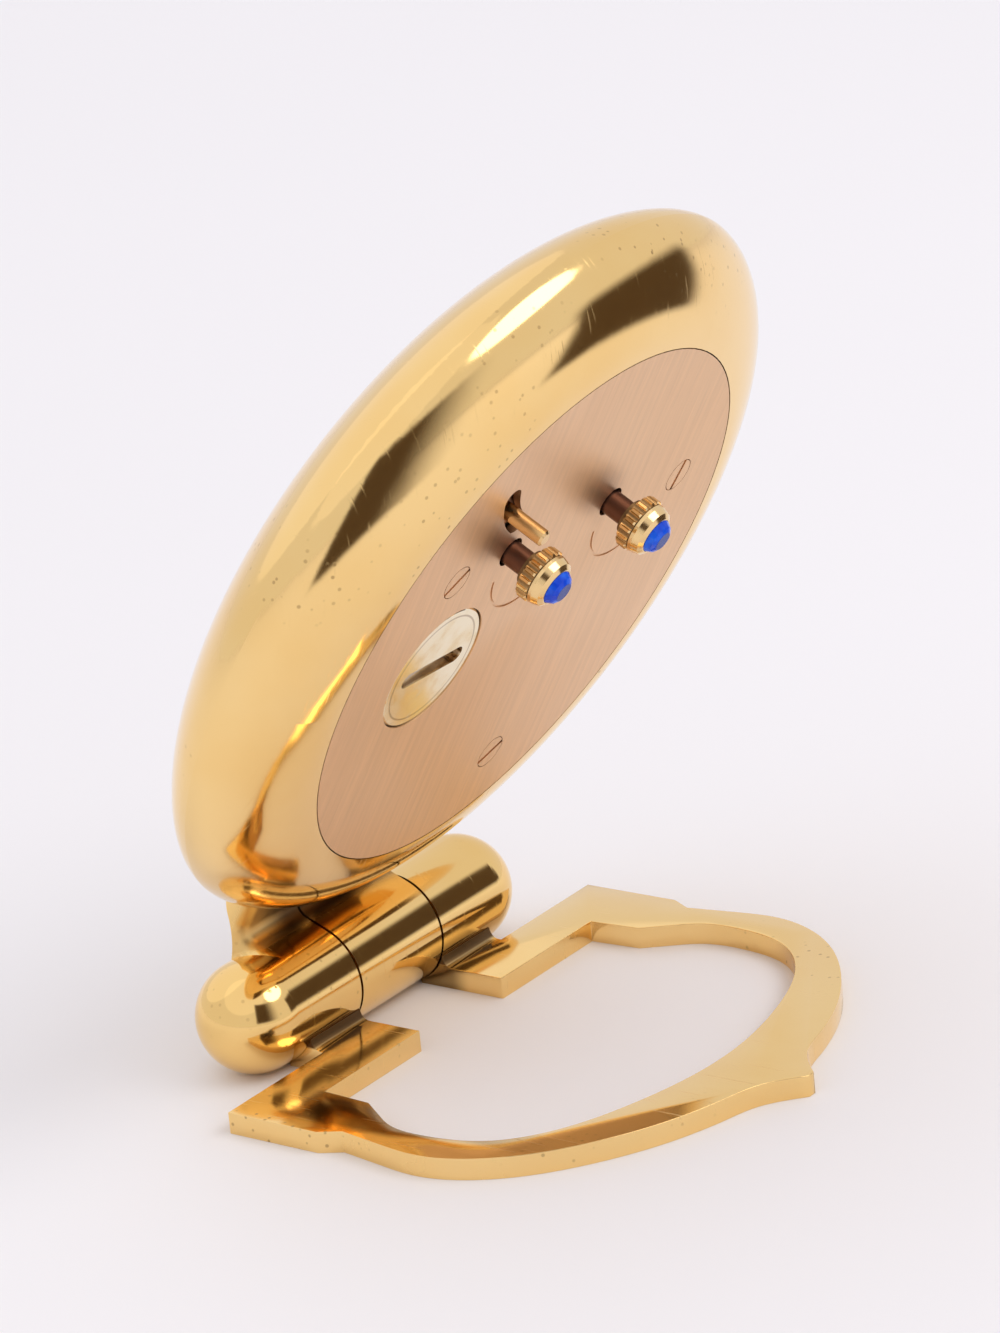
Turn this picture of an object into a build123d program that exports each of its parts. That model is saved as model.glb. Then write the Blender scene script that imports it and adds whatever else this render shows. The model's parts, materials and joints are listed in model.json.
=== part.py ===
from build123d import *
import os
from math import acos, atan2, cos, degrees, pi, radians, sin, sqrt, tan

# Travel clock: a gilt pebble-shaped case that leans back on a hinge barrel,
# over a flat openwork foot. Millimetres, +Z up. The origin is on the table,
# in the middle of the ground that the clock covers.

os.makedirs("parts", exist_ok=True)


# Driving dimensions of the case
case_radius = 37.5
case_lean = 29.8
back_rise = 6.84
front_rise = 10.0
rim_fullness = 1.13
case_wall = 1.2
back_rim_width = 9.6
front_rim_width = 11.3
front_rim_spread = 22.5
glass_seat_out = -6.95

# Driving dimensions of the hinge and the foot
barrel_radius = 5.38
barrel_dome_centre = 15.8
middle_knuckle_half = 6.16
knuckle_gap = 0.30
hinge_below_case = 6.87
hinge_back = 4.97
pin_radius = 1.2
pin_half_length = 16.6
foot_thickness = 2.08
foot_reach = 50.2

# Clearances
running = 0.04
seam = 0.05
thread_slack = 0.05
plate_gap = 0.12

# Driving dimensions of the back plate and what it carries
plate_thickness = 0.8
alarm_knob_bearing = -38.9
time_knob_bearing = 41.7
hatch_distance = 13.75
hatch_bearing = -95.0
hatch_radius = 6.38
hatch_recess = 0.08
lever_right = -4.4
lever_up = 20.2
lever_arm = 8.0
pin_rest_angle = 215.9
slot_low_swing = 17.3
slot_high_swing = 17.3
alarm_pin_radius = 0.78
alarm_pin_height = 3.8
knob_ring_radius = 2.65
knob_ring_start = 2.75
knob_ring_height = 1.2
knob_head_height = 1.4
groove_width = 0.14
knob_flutes = 18
cabochon_radius = 1.7
cabochon_rise = 0.95
stem_radius = 0.8
pillar_insets = [(4.76, -58.4), (2.5, 70.3), (2.5, 164.4)]

# Levels through the case, measured from its widest plane towards the back
crystal_edge = 1.2
gasket_height = 0.5
dial_front = -2.4
dial_thickness = 0.4
main_plate_front = -1.6
main_plate_thickness = 1.0
bridge_under = 4.4
bridge_thickness = 0.8
alarm_layer = (-0.3, 0.3)
hour_layer = (0.55, 1.05)
minute_layer = (1.3, 1.8)
clutch_layer = (2.05, 2.4)
step_layer = (2.65, 2.95)
seconds_layer = (3.2, 3.5)
third_layer = (3.75, 4.05)

plate_bore = case_radius - back_rim_width
glass_opening = case_radius - front_rim_width
front_flat_radius = case_radius - front_rim_spread
hinge_drop = case_radius + hinge_below_case
plate_front = back_rise - plate_thickness
main_plate_back = main_plate_front + main_plate_thickness
bridge_over = bridge_under + bridge_thickness


# Placing: right and up as seen from behind the clock, out towards the viewer
lean = radians(case_lean)
back_dir = Vector(0, cos(lean), -sin(lean))
up_dir = Vector(0, sin(lean), cos(lean))
hinge_y = -(foot_reach - barrel_radius) / 2
hinge_point = Vector(0, hinge_y, barrel_radius)
case_centre = hinge_point + up_dir * hinge_drop - back_dir * hinge_back


def spot(distance, bearing):
    """Right and up of a point, from its distance and its bearing clockwise from the top."""
    return distance * sin(radians(bearing)), distance * cos(radians(bearing))


def on_case(right, up, out=0.0):
    return case_centre + Vector(-1, 0, 0) * right + up_dir * up + back_dir * out


def level_of(point):
    return (point - case_centre).dot(back_dir)


def flat_plane(out=0.0, right=0.0, up=0.0):
    return Plane(origin=on_case(right, up, out), x_dir=(-1, 0, 0), z_dir=back_dir)


def turning_plane(right=0.0, up=0.0):
    """Sketch plane whose x is the distance from an axis and whose y is the level."""
    return Plane(origin=on_case(right, up), x_dir=(1, 0, 0), z_dir=up_dir)


def turning_axis(right=0.0, up=0.0):
    return Axis(on_case(right, up), back_dir)


def turn(points, right=0.0, up=0.0, mode=Mode.ADD):
    """Turned solid from (radius, level) points, in the part being built."""
    with BuildSketch(turning_plane(right, up)) as section:
        with BuildLine():
            Polyline(*points, close=True)
        make_face()
    revolve(section.sketch, axis=turning_axis(right, up), mode=mode)


def disc(radius, low, high, right=0.0, up=0.0, mode=Mode.ADD):
    """Round bar or hole between two levels."""
    with BuildSketch(flat_plane(low, right, up)) as section:
        Circle(radius)
    extrude(section.sketch, amount=high - low, mode=mode)


def block(right, up, width, height, low, high, mode=Mode.ADD, turned=0.0):
    """Square-cornered block between two levels."""
    with BuildSketch(flat_plane(low, right, up)) as section:
        Rectangle(width, height, rotation=turned)
    extrude(section.sketch, amount=high - low, mode=mode)


pressure_angle = radians(20)
tooth_share = 0.45
wheel_addendum = 0.45
pinion_addendum = 0.8
dedendum = 1.0
smallest_wheel = 20


def involute(angle):
    return tan(angle) - angle


def gear_points(teeth, module, phase):
    """Outline of a spur gear with a tooth at the phase angle, in radians."""
    pitch = teeth * module / 2
    base = pitch * cos(pressure_angle)
    addendum = wheel_addendum if teeth >= smallest_wheel else pinion_addendum
    tip = pitch + addendum * module
    root = pitch - dedendum * module
    at_pitch = tooth_share * pi / teeth + involute(pressure_angle)
    corner = max(root, base) if base > root else (root + tip) / 2
    points = []
    for tooth in range(teeth):
        middle = phase + tooth * 2 * pi / teeth
        flank = []
        for radius in (root, corner, tip):
            angle = at_pitch - involute(acos(min(1.0, base / radius)))
            flank.append((radius, angle))
        for radius, angle in flank:
            points.append((radius * cos(middle - angle), radius * sin(middle - angle)))
        for radius, angle in reversed(flank):
            points.append((radius * cos(middle + angle), radius * sin(middle + angle)))
    return points


def gear(teeth, module, phase, layer, right=0.0, up=0.0):
    with BuildSketch(flat_plane(layer[0], right, up)) as section:
        with BuildLine():
            Polyline(*gear_points(teeth, module, phase), close=True)
        make_face()
    extrude(section.sketch, amount=layer[1] - layer[0])


def bearing_to(start, end):
    return atan2(end[1] - start[1], end[0] - start[0])


def meshed(phase, teeth, next_teeth, bearing):
    """Phase that puts a gap of the next gear over the tooth of the first one."""
    return bearing + pi - pi / next_teeth - (phase - bearing) * teeth / next_teeth


# Gear trains: teeth, modules and the centre distances that follow
set_module = 0.25
hour_module = 0.24
fine_module = 0.17
rotor_module = 0.16
seconds_module = 0.24
knob_teeth_time = 12
motion_teeth = 36
cannon_teeth = 12
motion_pinion_teeth = 10
hour_teeth = 40
knob_teeth_alarm = 14
idler_teeth = 24
alarm_teeth = 40
rotor_teeth = 8
third_teeth = 48
third_pinion_teeth = 8
seconds_teeth = 40
seconds_pinion_teeth = 8
step_teeth = 60
step_pinion_teeth = 8
clutch_teeth = 64

centre = (0.0, 0.0)
motion_distance = (cannon_teeth + motion_teeth) * set_module / 2
time_distance = motion_distance + (motion_teeth + knob_teeth_time) * set_module / 2
idler_distance = (alarm_teeth + idler_teeth) * set_module / 2
alarm_distance = idler_distance + (idler_teeth + knob_teeth_alarm) * set_module / 2
step_distance = (seconds_pinion_teeth + step_teeth) * fine_module / 2
clutch_module = 2 * step_distance / (step_pinion_teeth + clutch_teeth)
third_distance = (third_pinion_teeth + seconds_teeth) * seconds_module / 2
rotor_distance = (rotor_teeth + third_teeth) * rotor_module / 2

motion_spot = spot(motion_distance, time_knob_bearing)
time_spot = spot(time_distance, time_knob_bearing)
idler_spot = spot(idler_distance, alarm_knob_bearing)
alarm_spot = spot(alarm_distance, alarm_knob_bearing)
step_bearing = 180.0
third_bearing = 110.0
rotor_turn = 125.0
step_spot = spot(step_distance, step_bearing)
third_spot = spot(third_distance, third_bearing)
rotor_step = spot(rotor_distance, rotor_turn)
rotor_spot = (third_spot[0] + rotor_step[0], third_spot[1] + rotor_step[1])
hatch_spot = spot(hatch_distance, hatch_bearing)

arbor = 0.25
motion_arbor = 0.3
idler_arbor = 0.4
rotor_arbor = 0.2
stem_pivot = 0.5
pivot_low = main_plate_front + 0.3
pivot_high = bridge_over - 0.2

# Pipes at the centre, one inside the next
seconds_arbor = 0.25
minute_pipe = 0.7
hour_pipe = 1.15
alarm_pipe = 1.6
pipe_slack = 0.05


# Case shell: one hollow gilt piece, open behind for the plate and in front for the glass
def rim(edge, rise, inset, end_radius, steps=6):
    """Points of the rounded rim, from its widest line to where it has the end radius."""
    wide = case_radius - inset
    last = acos(((end_radius - edge) / (wide - edge)) ** (1 / rim_fullness))
    points = []
    for step in range(steps + 1):
        angle = last * step / steps
        radius = edge + (wide - edge) * cos(angle) ** rim_fullness
        points.append((radius, rise * sin(angle) ** rim_fullness))
    return points


lip_edge = plate_bore + 1.3
glass_bore = glass_opening + 1.45
lip_inside = back_rise - case_wall
back_outer = rim(plate_bore, back_rise, 0.0, plate_bore)
front_outer = rim(front_flat_radius, -front_rise, 0.0, glass_opening)
back_inner = rim(lip_edge, lip_inside, case_wall, lip_edge)
front_inner = rim(front_flat_radius, case_wall - front_rise, case_wall, glass_bore)

def case_solid(gap=0.0):
    """Whole pebble shape of the case, grown by a gap."""
    back = rim(plate_bore, back_rise + gap, -gap, plate_bore)
    front = rim(front_flat_radius, -front_rise - gap, -gap, glass_opening)
    with BuildSketch(turning_plane()) as section:
        with BuildLine():
            Spline(*back)
            Spline(*front)
            Polyline(front[-1], (0, front[-1][1]), (0, back[-1][1]), back[-1])
        make_face()
    revolve(section.sketch, axis=turning_axis())


with BuildPart() as case_blank:
    case_solid()

lug_screw_right = 4.0
lug_screw_radius = 0.8
lug_screw_head = 1.4
lug_screw_head_height = 0.8
lug_screw_seat = -(case_radius - 1.75)
lug_screw_end = -(case_radius + 1.8)
head_room = 3.0


def lug_screw_plane(side, up):
    return Plane(origin=on_case(side * lug_screw_right, up), x_dir=(1, 0, 0), z_dir=up_dir)


with BuildPart() as case_shell:
    with BuildSketch(turning_plane()):
        with BuildLine():
            Spline(*back_outer)
            Spline(*front_outer)
            Polyline(front_outer[-1], (glass_opening, glass_seat_out), (glass_bore, glass_seat_out))
            Line((glass_bore, glass_seat_out), front_inner[-1])
            Spline(*front_inner)
            Spline(*back_inner)
            Polyline(back_inner[-1], (plate_bore, lip_inside), back_outer[-1])
        make_face()
    revolve(axis=turning_axis())
    for side in (-1, 1):
        with BuildSketch(lug_screw_plane(side, lug_screw_seat)):
            Circle(lug_screw_head + 0.2)
        extrude(amount=head_room, mode=Mode.SUBTRACT)
        with BuildSketch(lug_screw_plane(side, lug_screw_seat)):
            Circle(lug_screw_radius + thread_slack)
        extrude(amount=-head_room, mode=Mode.SUBTRACT)

case_shell.part.label = "case_shell"
export_step(case_shell.part, "parts/case_shell.step")


# Hinge lug: the neck under the case, with the middle knuckle that turns on the pin
axle = (hinge_back, -hinge_drop)
front_foot_turn = 60
back_foot_turn = 7
neck_front = -3.1
neck_front_top = -(case_radius - 1.1)
neck_top = -(case_radius - 2.4)
waist_bulge = 0.6
throat_run = 2.6
throat_radius = 1.4


def on_barrel(turn_from_up):
    """Point of the barrel's outline, turned from straight up towards the dial."""
    angle = radians(turn_from_up)
    return axle[0] - barrel_radius * sin(angle), axle[1] + barrel_radius * cos(angle)


def along_hinge(radius, start, stop, mode=Mode.ADD):
    """Round bar or hole on the hinge line, from one side of the clock to the other."""
    with BuildSketch(Plane(origin=hinge_point + Vector(start, 0, 0), z_dir=(1, 0, 0))) as section:
        Circle(radius)
    extrude(section.sketch, amount=stop - start, mode=mode)


def neck(start, stop, top):
    """Neck that leaves the barrel behind along its tangent and rises towards the case."""
    front_foot = on_barrel(front_foot_turn)
    back_foot = on_barrel(back_foot_turn)
    front_top = (neck_front, neck_front_top)
    waist = ((front_foot[0] + front_top[0]) / 2 + waist_bulge, (front_foot[1] + front_top[1]) / 2)
    slope = radians(back_foot_turn)
    throat_start = (back_foot[0] - throat_run * cos(slope), back_foot[1] - throat_run * sin(slope))
    with BuildSketch(Plane(origin=on_case(-start, 0), x_dir=back_dir, z_dir=(1, 0, 0))) as section:
        with BuildLine():
            Line(axle, front_foot)
            ThreePointArc(front_foot, waist, front_top)
            throat = JernArc(throat_start, (-cos(slope), -sin(slope)), throat_radius, -(90 + back_foot_turn))
            Polyline(front_top, (neck_front, top), ((throat @ 1).X, top), throat @ 1)
            Line(throat_start, back_foot)
            Line(back_foot, axle)
        make_face()
    extrude(section.sketch, amount=stop - start)


with BuildPart() as hinge_lug:
    neck(-middle_knuckle_half, middle_knuckle_half, neck_top)
    along_hinge(barrel_radius, -middle_knuckle_half, middle_knuckle_half)
    along_hinge(pin_radius + running, -middle_knuckle_half, middle_knuckle_half, mode=Mode.SUBTRACT)
    add(case_blank.part, mode=Mode.SUBTRACT)
    for side in (-1, 1):
        with BuildSketch(lug_screw_plane(side, lug_screw_seat)):
            Circle(lug_screw_radius)
        extrude(amount=lug_screw_end - lug_screw_seat, mode=Mode.SUBTRACT)

hinge_lug.part.label = "hinge_lug"
export_step(hinge_lug.part, "parts/hinge_lug.step")

with BuildPart() as lug_screws:
    for side in (-1, 1):
        with BuildSketch(lug_screw_plane(side, lug_screw_seat)):
            Circle(lug_screw_radius - 0.02)
        extrude(amount=lug_screw_end - lug_screw_seat + 0.1)
        with BuildSketch(lug_screw_plane(side, lug_screw_seat)):
            Circle(lug_screw_head)
        extrude(amount=lug_screw_head_height)
        with BuildSketch(lug_screw_plane(side, lug_screw_seat + lug_screw_head_height)):
            Rectangle(2 * lug_screw_head + 1, 0.4)
        extrude(amount=-0.35, mode=Mode.SUBTRACT)

lug_screws.part.label = "lug_screws"
export_step(lug_screws.part, "parts/lug_screws.step")


# Foot: a flat openwork ring, with two capped knuckles brazed to its tabs
knuckle_start = middle_knuckle_half + knuckle_gap
foot_plane = Plane(origin=(0, hinge_y, 0))
tab_root = 2.2
tab_width = 7.6
tab_out = knuckle_start + tab_width
bar_back = 6.2
bar_inside = 11.6
shoulder = 28.35
shoulder_end = 16.2
inner_shoulder = 21.0
inner_shoulder_end = 16.8
ring_opening_reach = 40.8
ring_opening_half = 25.1
ring_outer_half = 28.8
cove = 1.0

with BuildPart() as foot_ring:
    with BuildSketch(foot_plane):
        with BuildLine():
            Polyline(
                (0, foot_reach - 1.0),
                (0, ring_opening_reach),
            )
            Spline(
                (0, ring_opening_reach),
                (12.0, 38.9),
                (19.2, 35.9),
                (23.8, 31.3),
                (ring_opening_half, 25.6),
                (23.9, 20.3),
                tangents=[(1, 0), (-0.6, -0.9)],
            )
            Polyline(
                (23.9, 20.3),
                (inner_shoulder + 0.4, inner_shoulder_end),
                (inner_shoulder, bar_inside),
                (knuckle_start, bar_inside),
                (knuckle_start, tab_root),
                (tab_out, tab_root),
                (tab_out, bar_back),
                (shoulder, bar_back),
                (shoulder + 0.15, shoulder_end),
                (27.4, 18.3),
            )
            Spline(
                (27.4, 18.3),
                (28.3, 23.0),
                (ring_outer_half, 27.4),
                (26.7, 33.7),
                (21.4, 39.4),
                (14.2, 43.8),
                (9.0, 45.7),
                tangents=[(0.2, 1), (-1, 0.3)],
            )
            Spline(
                (9.0, 45.7),
                (4.2, 47.1),
                (0.45, foot_reach),
                tangents=[(-1, 0.3), (-0.8, 0.8)],
            )
            Polyline((0.45, foot_reach), (0, foot_reach), (0, foot_reach - 1.0))
        make_face()
        mirror(about=Plane.YZ)
    extrude(amount=foot_thickness)
    cove_low = foot_thickness + cove
    cove_out = sqrt((barrel_radius + cove) ** 2 - (barrel_radius - cove_low) ** 2)
    for side in (-1, 1):
        with BuildSketch(Plane(origin=(side * knuckle_start, hinge_y, 0), x_dir=(0, 1, 0), z_dir=(1, 0, 0))):
            with Locations(((tab_root + cove_out) / 2, cove_low / 2)):
                Rectangle(cove_out - tab_root, cove_low)
            with Locations((cove_out, cove_low)):
                Circle(cove, mode=Mode.SUBTRACT)
        extrude(amount=side * tab_width)
    along_hinge(barrel_radius, -2 * tab_out, 2 * tab_out, mode=Mode.SUBTRACT)

foot_ring.part.label = "foot_ring"
export_step(foot_ring.part, "parts/foot_ring.step")

pin_bore = pin_radius + running
pin_bore_end = pin_half_length + 0.4


stop_end = 14.8
stop_top = -(case_radius - 6.5)
stop_rounding = 1.6
stop_edge = 1.4
stop_gap = 0.12


def knuckle(side):
    along_hinge(barrel_radius, side * knuckle_start, side * barrel_dome_centre)
    with Locations(hinge_point + Vector(side * barrel_dome_centre, 0, 0)):
        Sphere(barrel_radius)
    along_hinge(pin_bore, side * (knuckle_start - 1), side * pin_bore_end, mode=Mode.SUBTRACT)


with BuildPart() as stop_room:
    case_solid(stop_gap)

with BuildPart() as knuckle_right:
    neck(knuckle_start, stop_end, stop_top)
    sides = knuckle_right.faces().sort_by(Axis.X)[-1].edges().sort_by(Axis.Z)[2:-1]
    fillet([edge for edge in sides if level_of(edge.center()) > 0], radius=stop_rounding)
    sides = knuckle_right.faces().sort_by(Axis.X)[-1].edges().sort_by(Axis.Z)[2:-1]
    fillet([edge for edge in sides if level_of(edge.center()) < 0], radius=stop_edge)
    knuckle(1)
    add(stop_room.part, mode=Mode.SUBTRACT)

knuckle_right.part.label = "knuckle_right"
export_step(knuckle_right.part, "parts/knuckle_right.step")

with BuildPart() as knuckle_left:
    knuckle(-1)

knuckle_left.part.label = "knuckle_left"
export_step(knuckle_left.part, "parts/knuckle_left.step")

with BuildPart() as hinge_pin:
    along_hinge(pin_radius, -pin_half_length, pin_half_length)
    chamfer(hinge_pin.edges(), length=0.2)

hinge_pin.part.label = "hinge_pin"
export_step(hinge_pin.part, "parts/hinge_pin.step")

washer_radius = 4.6
washer_bore = 1.35

with BuildPart() as friction_washers:
    for side in (-1, 1):
        along_hinge(washer_radius, side * (middle_knuckle_half + running), side * (knuckle_start - running))
    along_hinge(washer_bore, -knuckle_start, knuckle_start, mode=Mode.SUBTRACT)

friction_washers.part.label = "friction_washers"
export_step(friction_washers.part, "parts/friction_washers.step")


# Back plate and the screws that hold it on the movement
ring_width = 3.6
ring_ledge = 0.9
bridge_inset = 0.7
main_plate_radius = plate_bore - ring_width
bridge_radius = main_plate_radius - bridge_inset
screw_spots = [spot(bridge_radius - inset, bearing) for inset, bearing in pillar_insets]
screw_head = 1.65
screw_seat_radius = 1.73
screw_seat_depth = 0.45
screw_shank = 0.65
screw_passage = 0.75
screw_bore = 0.7
screw_slot = (0.42, 0.25)
stem_passage = 1.5
hatch_passage = hatch_radius + 0.12
pin_slot_half = 1.08
plate_radius = plate_bore - plate_gap
plate_screw_end = 3.6
engraving_depth = 0.12
engraving_width = 0.26
arrow_radius = 5.42
arrow_centre = (4.54, -2.42)
arrow_start = -172
arrow_sweep = 112
arrow_head = 1.2


def slotted_head(radius, low, high, right, up, turned):
    disc(radius, low, high, right, up)
    width, depth = screw_slot
    block(right, up, 2 * radius + 1, width, high - depth, high + 1, Mode.SUBTRACT, turned)


def arrow(right, up, start, sweep):
    """Engraved arc beside a knob, with an arrow head at the end of its sweep."""
    with BuildSketch(flat_plane(back_rise - engraving_depth, right, up)) as section:
        with BuildLine():
            CenterArc((0, 0), arrow_radius, start, sweep)
        trace(line_width=engraving_width)
        angle = radians(start + sweep)
        tip = (
            arrow_radius * cos(angle) - arrow_head * sin(angle),
            arrow_radius * sin(angle) + arrow_head * cos(angle),
        )
        inner = arrow_radius - arrow_head / 2
        outer = arrow_radius + arrow_head / 2
        with BuildLine():
            Polyline(
                tip,
                (inner * cos(angle), inner * sin(angle)),
                (outer * cos(angle), outer * sin(angle)),
                close=True,
            )
        make_face()
    extrude(section.sketch, amount=1, mode=Mode.SUBTRACT)


with BuildPart() as back_plate:
    disc(plate_radius, plate_front, back_rise)
    for right, up in (alarm_spot, time_spot):
        disc(stem_passage, plate_front - 1, back_rise + 1, right, up, Mode.SUBTRACT)
    disc(hatch_passage, plate_front - 1, back_rise + 1, *hatch_spot, mode=Mode.SUBTRACT)
    with BuildSketch(flat_plane(plate_front, lever_right, lever_up)):
        with BuildLine():
            CenterArc(
                (0, 0),
                lever_arm,
                pin_rest_angle - slot_high_swing,
                slot_high_swing + slot_low_swing,
            )
        trace(line_width=2 * pin_slot_half)
        for swing in (-slot_high_swing, slot_low_swing):
            angle = radians(pin_rest_angle + swing)
            with Locations((lever_arm * cos(angle), lever_arm * sin(angle))):
                Circle(pin_slot_half)
    extrude(amount=plate_thickness, mode=Mode.SUBTRACT)
    for right, up in screw_spots:
        disc(screw_passage, plate_front - 1, back_rise + 1, right, up, Mode.SUBTRACT)
        disc(screw_seat_radius, back_rise - screw_seat_depth, back_rise + 1, right, up, Mode.SUBTRACT)
    for right, up in (alarm_spot, time_spot):
        arrow(right + arrow_centre[0], up + arrow_centre[1], arrow_start, arrow_sweep)

back_plate.part.label = "back_plate"
export_step(back_plate.part, "parts/back_plate.step")

with BuildPart() as plate_screws:
    for (right, up), turned in zip(screw_spots, (35, 80, 25)):
        disc(screw_shank, plate_screw_end, back_rise - screw_seat_depth, right, up)
        slotted_head(screw_head, back_rise - screw_seat_depth, back_rise, right, up, turned)

plate_screws.part.label = "plate_screws"
export_step(plate_screws.part, "parts/plate_screws.step")

pillar_radius = 1.6

with BuildPart() as plate_spacers:
    for right, up in screw_spots:
        disc(pillar_radius, bridge_over, plate_front, right, up)
        disc(screw_passage, bridge_over - 1, plate_front + 1, right, up, Mode.SUBTRACT)

plate_spacers.part.label = "plate_spacers"
export_step(plate_spacers.part, "parts/plate_spacers.step")

with BuildPart() as pillars:
    for right, up in screw_spots:
        disc(pillar_radius, main_plate_back, bridge_under, right, up)
        disc(screw_bore, main_plate_back - 1, bridge_under + 1, right, up, Mode.SUBTRACT)

pillars.part.label = "pillars"
export_step(pillars.part, "parts/pillars.step")

pillar_screw_head = 1.3
pillar_screw_seat = 0.5
pillar_screw_end = 1.2

with BuildPart() as pillar_screws:
    for right, up in screw_spots:
        disc(pillar_screw_head, main_plate_front, main_plate_front + pillar_screw_seat, right, up)
        disc(screw_shank, main_plate_front + pillar_screw_seat, pillar_screw_end, right, up)
        block(right, up, 4, 0.4, main_plate_front - 1, main_plate_front + 0.25, Mode.SUBTRACT)

pillar_screws.part.label = "pillar_screws"
export_step(pillar_screws.part, "parts/pillar_screws.step")


# Movement frame: main plate, rear bridge and the ring that centres them in the case
ring_outer = plate_bore - seam
ring_bore = main_plate_radius + 0.1
ring_ledge_bore = main_plate_radius - ring_ledge
ring_front = dial_front + dial_thickness
centre_passage = alarm_pipe + pipe_slack
pivots = [
    (time_spot, stem_pivot),
    (alarm_spot, stem_pivot),
    (motion_spot, motion_arbor),
    (idler_spot, idler_arbor),
    (step_spot, arbor),
    (third_spot, arbor),
    (rotor_spot, rotor_arbor),
]
post_spots = [(6.5, -15.2), (15.1, -15.2)]
post_foot = 1.0
post_stud = 0.6
dial_foot = 0.5
dial_foot_end = -1.2
dial_foot_inset = 3.8
dial_foot_spots = [spot(main_plate_radius - dial_foot_inset, bearing) for bearing in (100, -80)]

with BuildPart() as main_plate:
    disc(main_plate_radius, main_plate_front, main_plate_back)
    disc(centre_passage, main_plate_front - 1, main_plate_back + 1, mode=Mode.SUBTRACT)
    for (right, up), radius in pivots:
        disc(radius + running, main_plate_front - 1, main_plate_back + 1, right, up, Mode.SUBTRACT)
    for right, up in dial_foot_spots:
        disc(dial_foot + seam, main_plate_front - 1, main_plate_back + 1, right, up, Mode.SUBTRACT)
    for right, up in screw_spots:
        disc(screw_bore, main_plate_front - 1, main_plate_back + 1, right, up, Mode.SUBTRACT)
        disc(
            pillar_screw_head + 0.05,
            main_plate_front - 1,
            main_plate_front + pillar_screw_seat,
            right,
            up,
            Mode.SUBTRACT,
        )

main_plate.part.label = "main_plate"
export_step(main_plate.part, "parts/main_plate.step")

cup_outer = 7.0
cup_bore = 5.95
lever_stud = 0.55
lever_stud_top = 5.95
piezo_spot = (9.5, -10.0)
piezo_radius = 8.0
piezo_seat_bore = 7.2
piezo_lift = 0.15

with BuildPart() as rear_bridge:
    disc(bridge_radius, bridge_under, bridge_over)
    disc(cup_outer + 0.05, bridge_under - 1, bridge_over + 1, *hatch_spot, mode=Mode.SUBTRACT)
    for right, up in (alarm_spot, time_spot):
        disc(stem_radius + running, bridge_under - 1, bridge_over + 1, right, up, Mode.SUBTRACT)
    disc(seconds_arbor + running, bridge_under - 1, bridge_over + 1, mode=Mode.SUBTRACT)
    for (right, up), radius in pivots[2:]:
        disc(radius + running, bridge_under - 1, bridge_over + 1, right, up, Mode.SUBTRACT)
    for right, up in screw_spots:
        disc(screw_passage, bridge_under - 1, bridge_over + 1, right, up, Mode.SUBTRACT)
    disc(lever_stud, bridge_over, lever_stud_top, lever_right, lever_up)
    disc(piezo_radius + 0.2, bridge_over, bridge_over + piezo_lift, *piezo_spot)
    disc(piezo_seat_bore, bridge_over, bridge_over + piezo_lift, *piezo_spot, mode=Mode.SUBTRACT)

rear_bridge.part.label = "rear_bridge"
export_step(rear_bridge.part, "parts/rear_bridge.step")

clamp_bearings = [20, 140, 260]
clamp_distance = ring_outer - 1.55
clamp_inner = clamp_distance - 1.1
clamp_outer = ring_outer + 1.75
clamp_width = 3.2
clamp_low = 4.98
clamp_thickness = 0.6
clamp_screw_head = 1.1
clamp_screw_shank = 0.6
clamp_screw_end = 2.5


def radial_block(bearing, inner, outer, width, low, high, mode=Mode.ADD):
    """Block that points outwards from the middle of the case."""
    right, up = spot((inner + outer) / 2, bearing)
    block(right, up, width, outer - inner, low, high, mode, turned=-bearing)


with BuildPart() as movement_ring:
    disc(ring_outer, ring_front, plate_front)
    disc(ring_bore, main_plate_front, plate_front + 1, mode=Mode.SUBTRACT)
    disc(ring_ledge_bore, ring_front - 1, plate_front + 1, mode=Mode.SUBTRACT)
    for bearing in clamp_bearings:
        radial_block(bearing, clamp_inner - 0.2, ring_outer + 1, clamp_width + 0.2,
                     clamp_low, plate_front + 1, Mode.SUBTRACT)
        disc(clamp_screw_shank + thread_slack, clamp_screw_end - 0.2, clamp_low + 1,
             *spot(clamp_distance, bearing), mode=Mode.SUBTRACT)

movement_ring.part.label = "movement_ring"
export_step(movement_ring.part, "parts/movement_ring.step")

with BuildPart() as case_clamps:
    for bearing in clamp_bearings:
        radial_block(bearing, clamp_inner, clamp_outer, clamp_width, clamp_low, clamp_low + clamp_thickness)
        disc(clamp_screw_shank + thread_slack, clamp_low - 1, clamp_low + 2,
             *spot(clamp_distance, bearing), mode=Mode.SUBTRACT)

case_clamps.part.label = "case_clamps"
export_step(case_clamps.part, "parts/case_clamps.step")

with BuildPart() as clamp_screws:
    for bearing in clamp_bearings:
        right, up = spot(clamp_distance, bearing)
        head = clamp_low + clamp_thickness
        disc(clamp_screw_shank, clamp_screw_end, head, right, up)
        disc(clamp_screw_head, head, head + 0.4, right, up)
        block(right, up, 4, 0.35, head + 0.2, head + 1, Mode.SUBTRACT)

clamp_screws.part.label = "clamp_screws"
export_step(clamp_screws.part, "parts/clamp_screws.step")


# Front: domed crystal on its gasket, sloped ring, dial and hour bars
crystal_flange = glass_bore - seam
crystal_dome = 10.0
crystal_dome_inside = 8.4
crystal_flange_back = glass_seat_out + crystal_edge
crystal_bore = glass_opening - 1.4
crystal_neck = glass_opening - 0.15
crystal_neck_front = -8.1

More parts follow.
